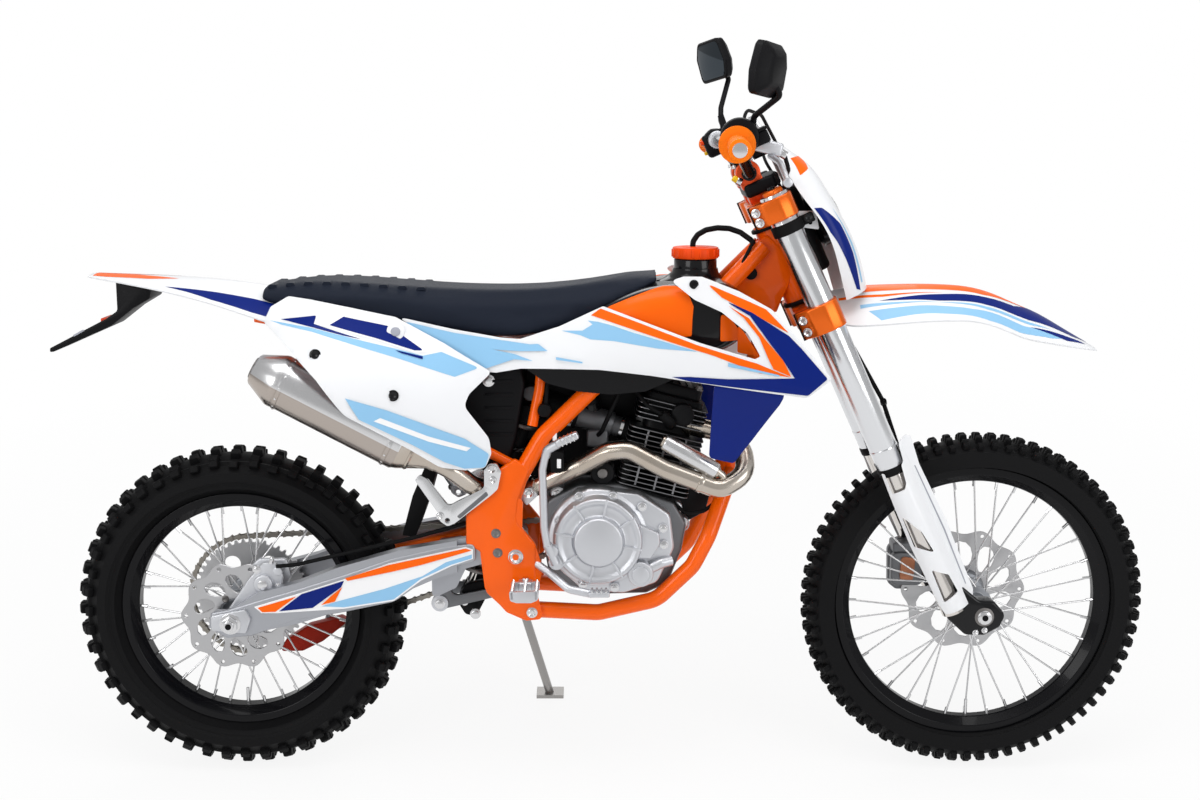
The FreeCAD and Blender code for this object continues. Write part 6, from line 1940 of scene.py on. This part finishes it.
def mirror_parts(side, foot, top, neck):
    """A mirror turned in towards the rider: a faceted black shell round dark glass, on a stalk."""
    foot = Vector((foot[0], side * 330, foot[1]))
    rise_way = Vector((top[0] - foot.x, 0, top[1] - foot.z))
    height = rise_way.length
    lean = math.degrees(math.atan2(rise_way.x, rise_way.z))
    place = pitched(foot, lean) @ Matrix.Rotation(math.radians(34) * side, 4, "Z")
    face = corners([(-44, 6, 12), (-50, 0.45 * height, 14), (-36, height, 14), (38, height - 4, 12),
                    (50, 0.6 * height, 14), (44, 2, 12)], 3)
    middle = Vector((0, height / 2))

    def stepped(*stations):
        rings = [[(depth, *(middle + (p - middle) * share)) for p in face] for depth, share in stations]
        return moved(loft(rings), place)

    head = stepped((-3, 0.94), (0, 1.0), (12, 0.98), (26, 0.72), (31, 0.5))
    glass = stepped((-4.2, 0.82), (-3.4, 0.85), (-2, 0.85))
    hold = place @ Vector((22, 0, 0.3 * height))
    stalk = pipe([
        (14, side * 250, 150), (neck[0] - 12, side * 256, neck[1] - 24), (neck[0], side * 268, neck[1]),
        (hold.x + 4, hold.y - side * 14, hold.z - 26), tuple(hold)], 5.5, 16)
    boot = pipe([(12, side * 250, 146), (neck[0] - 8, side * 255, neck[1] - 14)], 9, 4, end_radius=6.5)
    return [(both_of(head, stalk, boot), black_plastic), (glass, mirror_glass)]


piece("rear_view_mirrors", "steering", mirror_parts(-1, (50, 206), (100, 290), (34, 180))
      + mirror_parts(1, (42, 256), (62, 346), (26, 206)), STEER, ["mirrors"])


def cable_parts():
    """Cables and hoses that loop from the bar past the headstock."""
    throttle = pipe([(8, -250, 168), (30, -222, 196), (58, -150, 172), (70, -70, 110), (66, -44, 30),
                     (62, -40, -60)], 3.2, 46, 10)
    brake = pipe([(58, -250, 94), (58, -216, 66), (50, -130, 42), (56, 30, 10), (60, 84, -60),
                  (64, 92, -150)], 4.0, 50, 12)
    clutch_cable = pipe([(60, 224, 134), (62, 180, 120), (52, 96, 74), (58, 44, 0), (60, 38, -90)],
                        3.2, 46, 10)
    return [(both_of(throttle, brake, clutch_cable), black_rubber)]


piece("bar_cables", "steering", cable_parts(), STEER)


def frame_hose_parts():
    """The tank's breather hose and the cable that runs down beside the head tube."""
    breather = pipe([(904, -4, 1056), (905, -4, 1070), (914, -3, 1083), (930, -2, 1092), (952, -2, 1096),
                     (975, -6, 1095), (996, -14, 1088), (1016, -28, 1074), (1024, -34, 1060)], 5.5, 14, 12)
    side_cable = pipe([(1020, -44, 1076), (1002, -48, 1040), (978, -56, 985), (960, -68, 946)], 3.6, 30, 10)
    drain = pipe([(953, -60, 562), (927, -64, 543), (891, -60, 538), (868, -56, 560)], 4.0, 24, 10)
    return [(both_of(breather, side_cable, drain), black_rubber)]


piece("breather_and_hoses", "chassis", frame_hose_parts())

stand_spring = pipe([(556, 122, 300), (566, 134, 262)], 6, 0, 10)
piece("stand_spring", "side_stand", [(stand_spring, dark_steel)])

# Finishes of the frame's own pieces

painted = {
    rim_black: ["rear_rim", "front_rim"], bright_steel: ["rear_spokes", "front_spokes", "front_axle"],
    hub_grey: ["rear_hub", "front_hub"], disc_steel: ["rear_sprocket"], cast_grey: ["rear_axle"],
    swingarm_alloy: ["swingarm"],
    orange_paint: ["frame_spars", "frame_cradle", "frame_pivot_plates", "subframe"],
    stand_steel: ["side_stand"]}
for shade, names in painted.items():
    for node in names:
        paint_node(node, shade)

# Floor, light and camera

white = (1.0, 1.0, 1.0)
camera_place = (-0.0115, -3.0546, 1.7152)
camera_pitch = 72.05
camera_lens = 47.34
world_light = 0.55


def backdrop_material():
    """Pale floor that camera, mirror and glass rays see as white, with the object's shadow kept."""
    shade = Shade("pale_floor", (0.82, 0.82, 0.82), 0.9)
    rays = [shade.add("ShaderNodeLightPath", {}, output=f"Is {kind} Ray")
            for kind in ("Camera", "Glossy", "Transmission")]
    distance = shade.add("ShaderNodeVectorMath", {0: shade.place()}, output="Value", operation="LENGTH")
    far = shade.add("ShaderNodeMath", {0: distance - 1.2, 1: 0.6}, operation="MULTIPLY", use_clamp=True)
    seen = (rays[0] + rays[1] + rays[2]) * (far * 0.12 + 0.88)
    glow = shade.add("ShaderNodeEmission", {"Color": white})
    lit = Term(shade, shade.surface.outputs[0])
    blend = shade.add("ShaderNodeMixShader", {0: seen, 1: lit, 2: glow})
    shade.feed(shade.nodes["Material Output"].inputs["Surface"], blend)
    return shade.material


def studio():
    """The floor, white surroundings, four soft lamps and the camera."""
    floor_mesh = bpy.data.meshes.new("floor")
    bm = bmesh.new()
    bmesh.ops.create_grid(bm, x_segments=1, y_segments=1, size=12.0)
    bm.to_mesh(floor_mesh)
    bm.free()
    floor_mesh.materials.append(backdrop_material())
    floor = bpy.data.objects.new("floor", floor_mesh)
    bpy.context.scene.collection.objects.link(floor)
    world = bpy.data.worlds.new("studio")
    bpy.context.scene.world = world
    world.use_nodes = True
    nodes = world.node_tree.nodes
    links = world.node_tree.links
    back = nodes["Background"]
    bright = nodes.new("ShaderNodeBackground")
    for background, strength in ((back, world_light), (bright, 1.0)):
        background.inputs["Color"].default_value = (*white, 1.0)
        background.inputs["Strength"].default_value = strength
    rays = nodes.new("ShaderNodeLightPath")
    blend = nodes.new("ShaderNodeMixShader")
    links.new(rays.outputs["Is Camera Ray"], blend.inputs[0])
    links.new(back.outputs[0], blend.inputs[1])
    links.new(bright.outputs[0], blend.inputs[2])
    links.new(blend.outputs[0], nodes["World Output"].inputs["Surface"])
    lamps = (("overhead", (0.0, -0.6, 3.6), (0, 0, 0.6), 3.4, 1.6, 60),
             ("front_left", (-2.8, -3.0, 2.2), (-0.2, 0, 0.6), 1.8, 1.8, 42),
             ("front_right", (3.0, -2.8, 1.8), (0.2, 0, 0.6), 1.8, 1.8, 38),
             ("rear", (0.0, 3.2, 2.4), (0, 0, 0.7), 2.6, 1.4, 26))
    for name, place, aim, width, height, power in lamps:
        data = bpy.data.lights.new(name, "AREA")
        data.shape = "RECTANGLE"
        data.size = width
        data.size_y = height
        data.energy = power
        lamp = bpy.data.objects.new(name, data)
        lamp.location = place
        lamp.rotation_euler = (Vector(aim) - Vector(place)).to_track_quat("-Z", "Y").to_euler()
        bpy.context.scene.collection.objects.link(lamp)
    data = bpy.data.cameras.new("camera")
    data.lens = camera_lens
    data.sensor_width = 36.0
    camera = bpy.data.objects.new("camera", data)
    camera.location = camera_place
    camera.rotation_euler = (math.radians(camera_pitch), 0, 0)
    bpy.context.scene.collection.objects.link(camera)
    bpy.context.scene.camera = camera


studio()
bpy.context.scene.view_settings.view_transform = "Standard"
